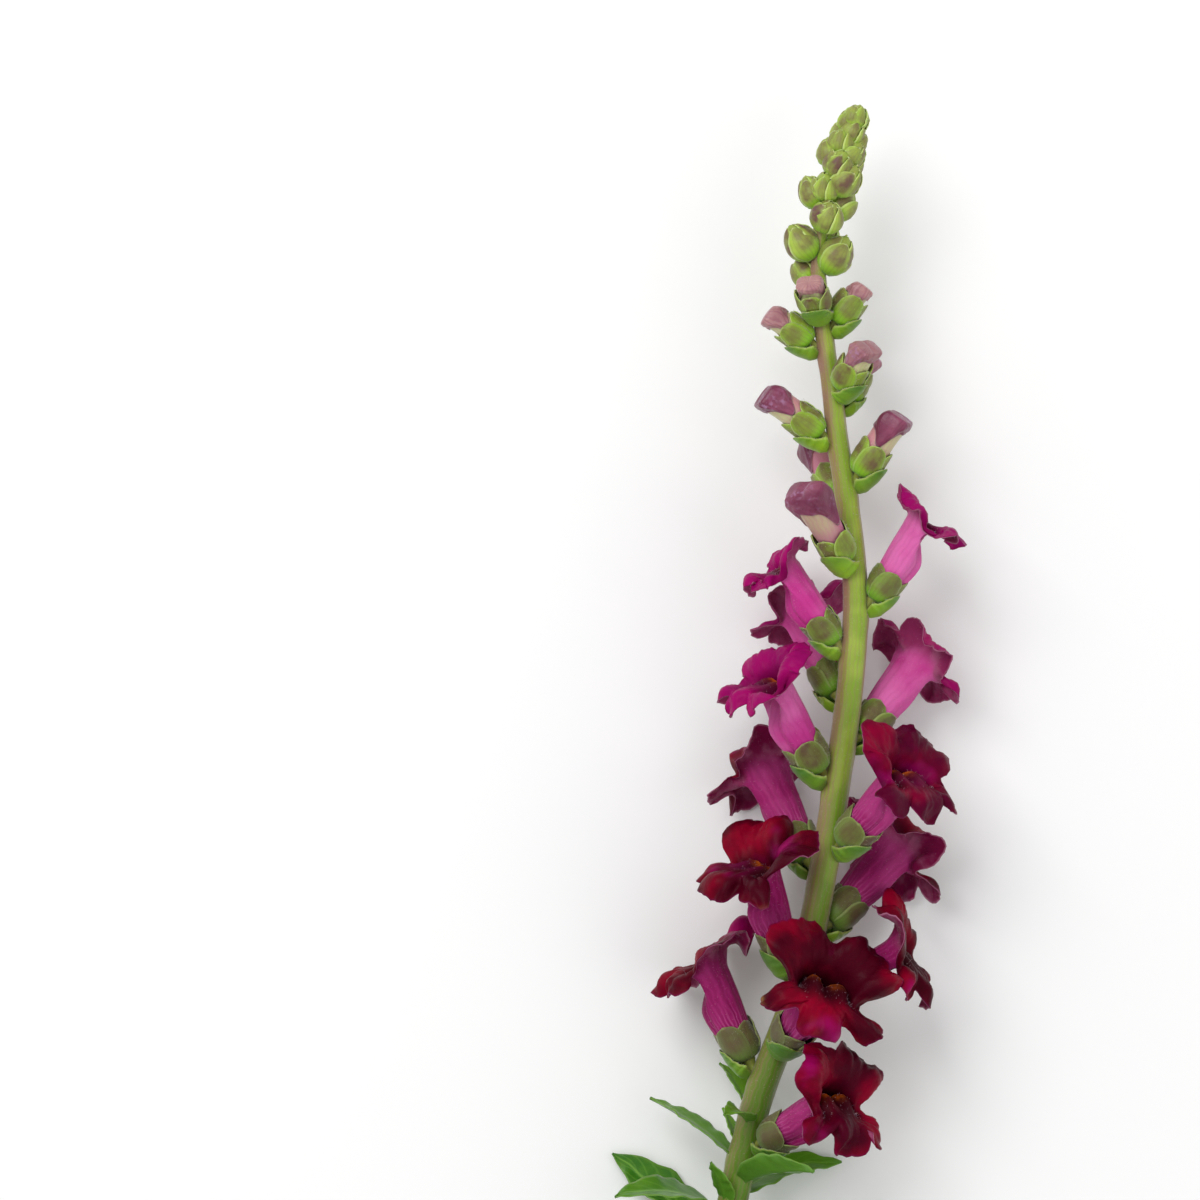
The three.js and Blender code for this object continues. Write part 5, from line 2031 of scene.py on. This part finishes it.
    def build_buds(self) -> None:
        """The coloured buds: calyx and furled petals."""
        for i, (name, bud, growth) in enumerate(self.buds):
            sepals = calyx(growth, BUD_CALYX_PROFILE, *bud_calyx(bud), 3000 + 10 * i)
            self.build_calyx(name, sepals, self.bud_sepal_skin)
            petals = FurledPetals(bud, growth, 4000 + 10 * i)
            Piece(f"{name}_petals", "bud_petals").grow(f"furled_petals_of_{name}", self.bud_skin, petals.build)

    def build(self) -> None:
        """Everything, from the stem outwards."""
        self.build_stem()
        self.build_foliage()
        self.build_green_buds()
        self.build_blooms()
        self.build_buds()


# ---- camera, light and floor ----


@dataclass
class Studio:
    """A plain pale floor, soft light and the camera that looks straight down.

    Args:
        view_centre: of the view, in the plant's frame.
        view_width: of the view, in millimetres.
        distance: from the camera to the focus.
        focus_height: above the table.
        sensor: width of the camera's sensor.
        floor_half: half the floor's width, in metres.
        pale: brightness of the floor, and its roughness.
        sky: strength of the world's light.
        aim: what the lamps face, in metres in the part's frame.
        lamps: name, place and size in metres, and power of each lamp.
    """

    view_centre: tuple[float, float] = (-48.0, 144.0)
    view_width: float = 288.0
    distance: float = 1300.0
    focus_height: float = 25.0
    sensor: float = 36.0
    floor_half: float = 4.0
    pale: float = 0.9
    sky: float = 0.62
    aim: tuple[float, float, float] = (0.0, 0.05, 0.03)
    lamps: tuple[tuple[str, tuple[float, float, float], float, float], ...] = (
        ("key_lamp", (-0.55, 0.75, 1.25), 0.9, 13.0),
        ("fill_lamp", (0.8, -0.3, 1.0), 1.0, 3.0),
    )

    def camera(self) -> None:
        """The camera, with +Y up in its picture."""
        data = bpy.data.cameras.new("camera")
        data.sensor_width = self.sensor
        data.lens = self.sensor * self.distance / self.view_width
        made = linked("camera", data)
        place = np.array([*self.view_centre, self.focus_height + self.distance])
        made.location = ((place + SHIFT) * MM).tolist()
        bpy.context.scene.camera = made

    def floor(self) -> None:
        """A wide matt floor at the height of the table."""
        mesh = bpy.data.meshes.new("floor")
        half = self.floor_half
        mesh.from_pydata([(-half, -half, 0), (half, -half, 0), (half, half, 0), (-half, half, 0)], [], [(0, 1, 2, 3)])
        paint = bpy.data.materials.new("floor_paint")
        paint.use_nodes = True
        sockets = {"Base Color": (self.pale,) * 3, "Roughness": self.pale}
        Graph(paint.node_tree).wire(paint.node_tree.nodes["Principled BSDF"], sockets)
        mesh.materials.append(paint)
        linked("floor", mesh)

    def lamp(self, name: str, place: tuple[float, float, float], size: float, power: float) -> None:
        """One soft square lamp that faces the spire."""
        data = bpy.data.lights.new(name, "AREA")
        data.size = size
        data.energy = power
        made = linked(name, data)
        made.location = place
        target = np.array(self.aim) - np.array(place)
        yaw = math.atan2(target[1], target[0])
        pitch = math.acos(-target[2] / np.linalg.norm(target))
        made.rotation_euler = (pitch, 0.0, yaw - math.pi / 2)

    def light(self) -> None:
        """A pale world, a key lamp from the upper left and a weaker one from the right."""
        world = bpy.data.worlds.new("world")
        world.use_nodes = True
        sockets = {"Color": (1.0, 1.0, 1.0), "Strength": self.sky}
        Graph(world.node_tree).wire(world.node_tree.nodes["Background"], sockets)
        bpy.context.scene.world = world
        for lamp in self.lamps:
            self.lamp(*lamp)

    def build(self) -> None:
        """Sets the scene."""
        self.camera()
        self.floor()
        self.light()
        bpy.context.scene.view_settings.view_transform = "Standard"


def main() -> None:
    """Builds the plant and the studio."""
    logging.basicConfig(level=logging.INFO, format="%(message)s")
    Snapdragon().build()
    Studio().build()


if __name__ == "__main__":
    main()
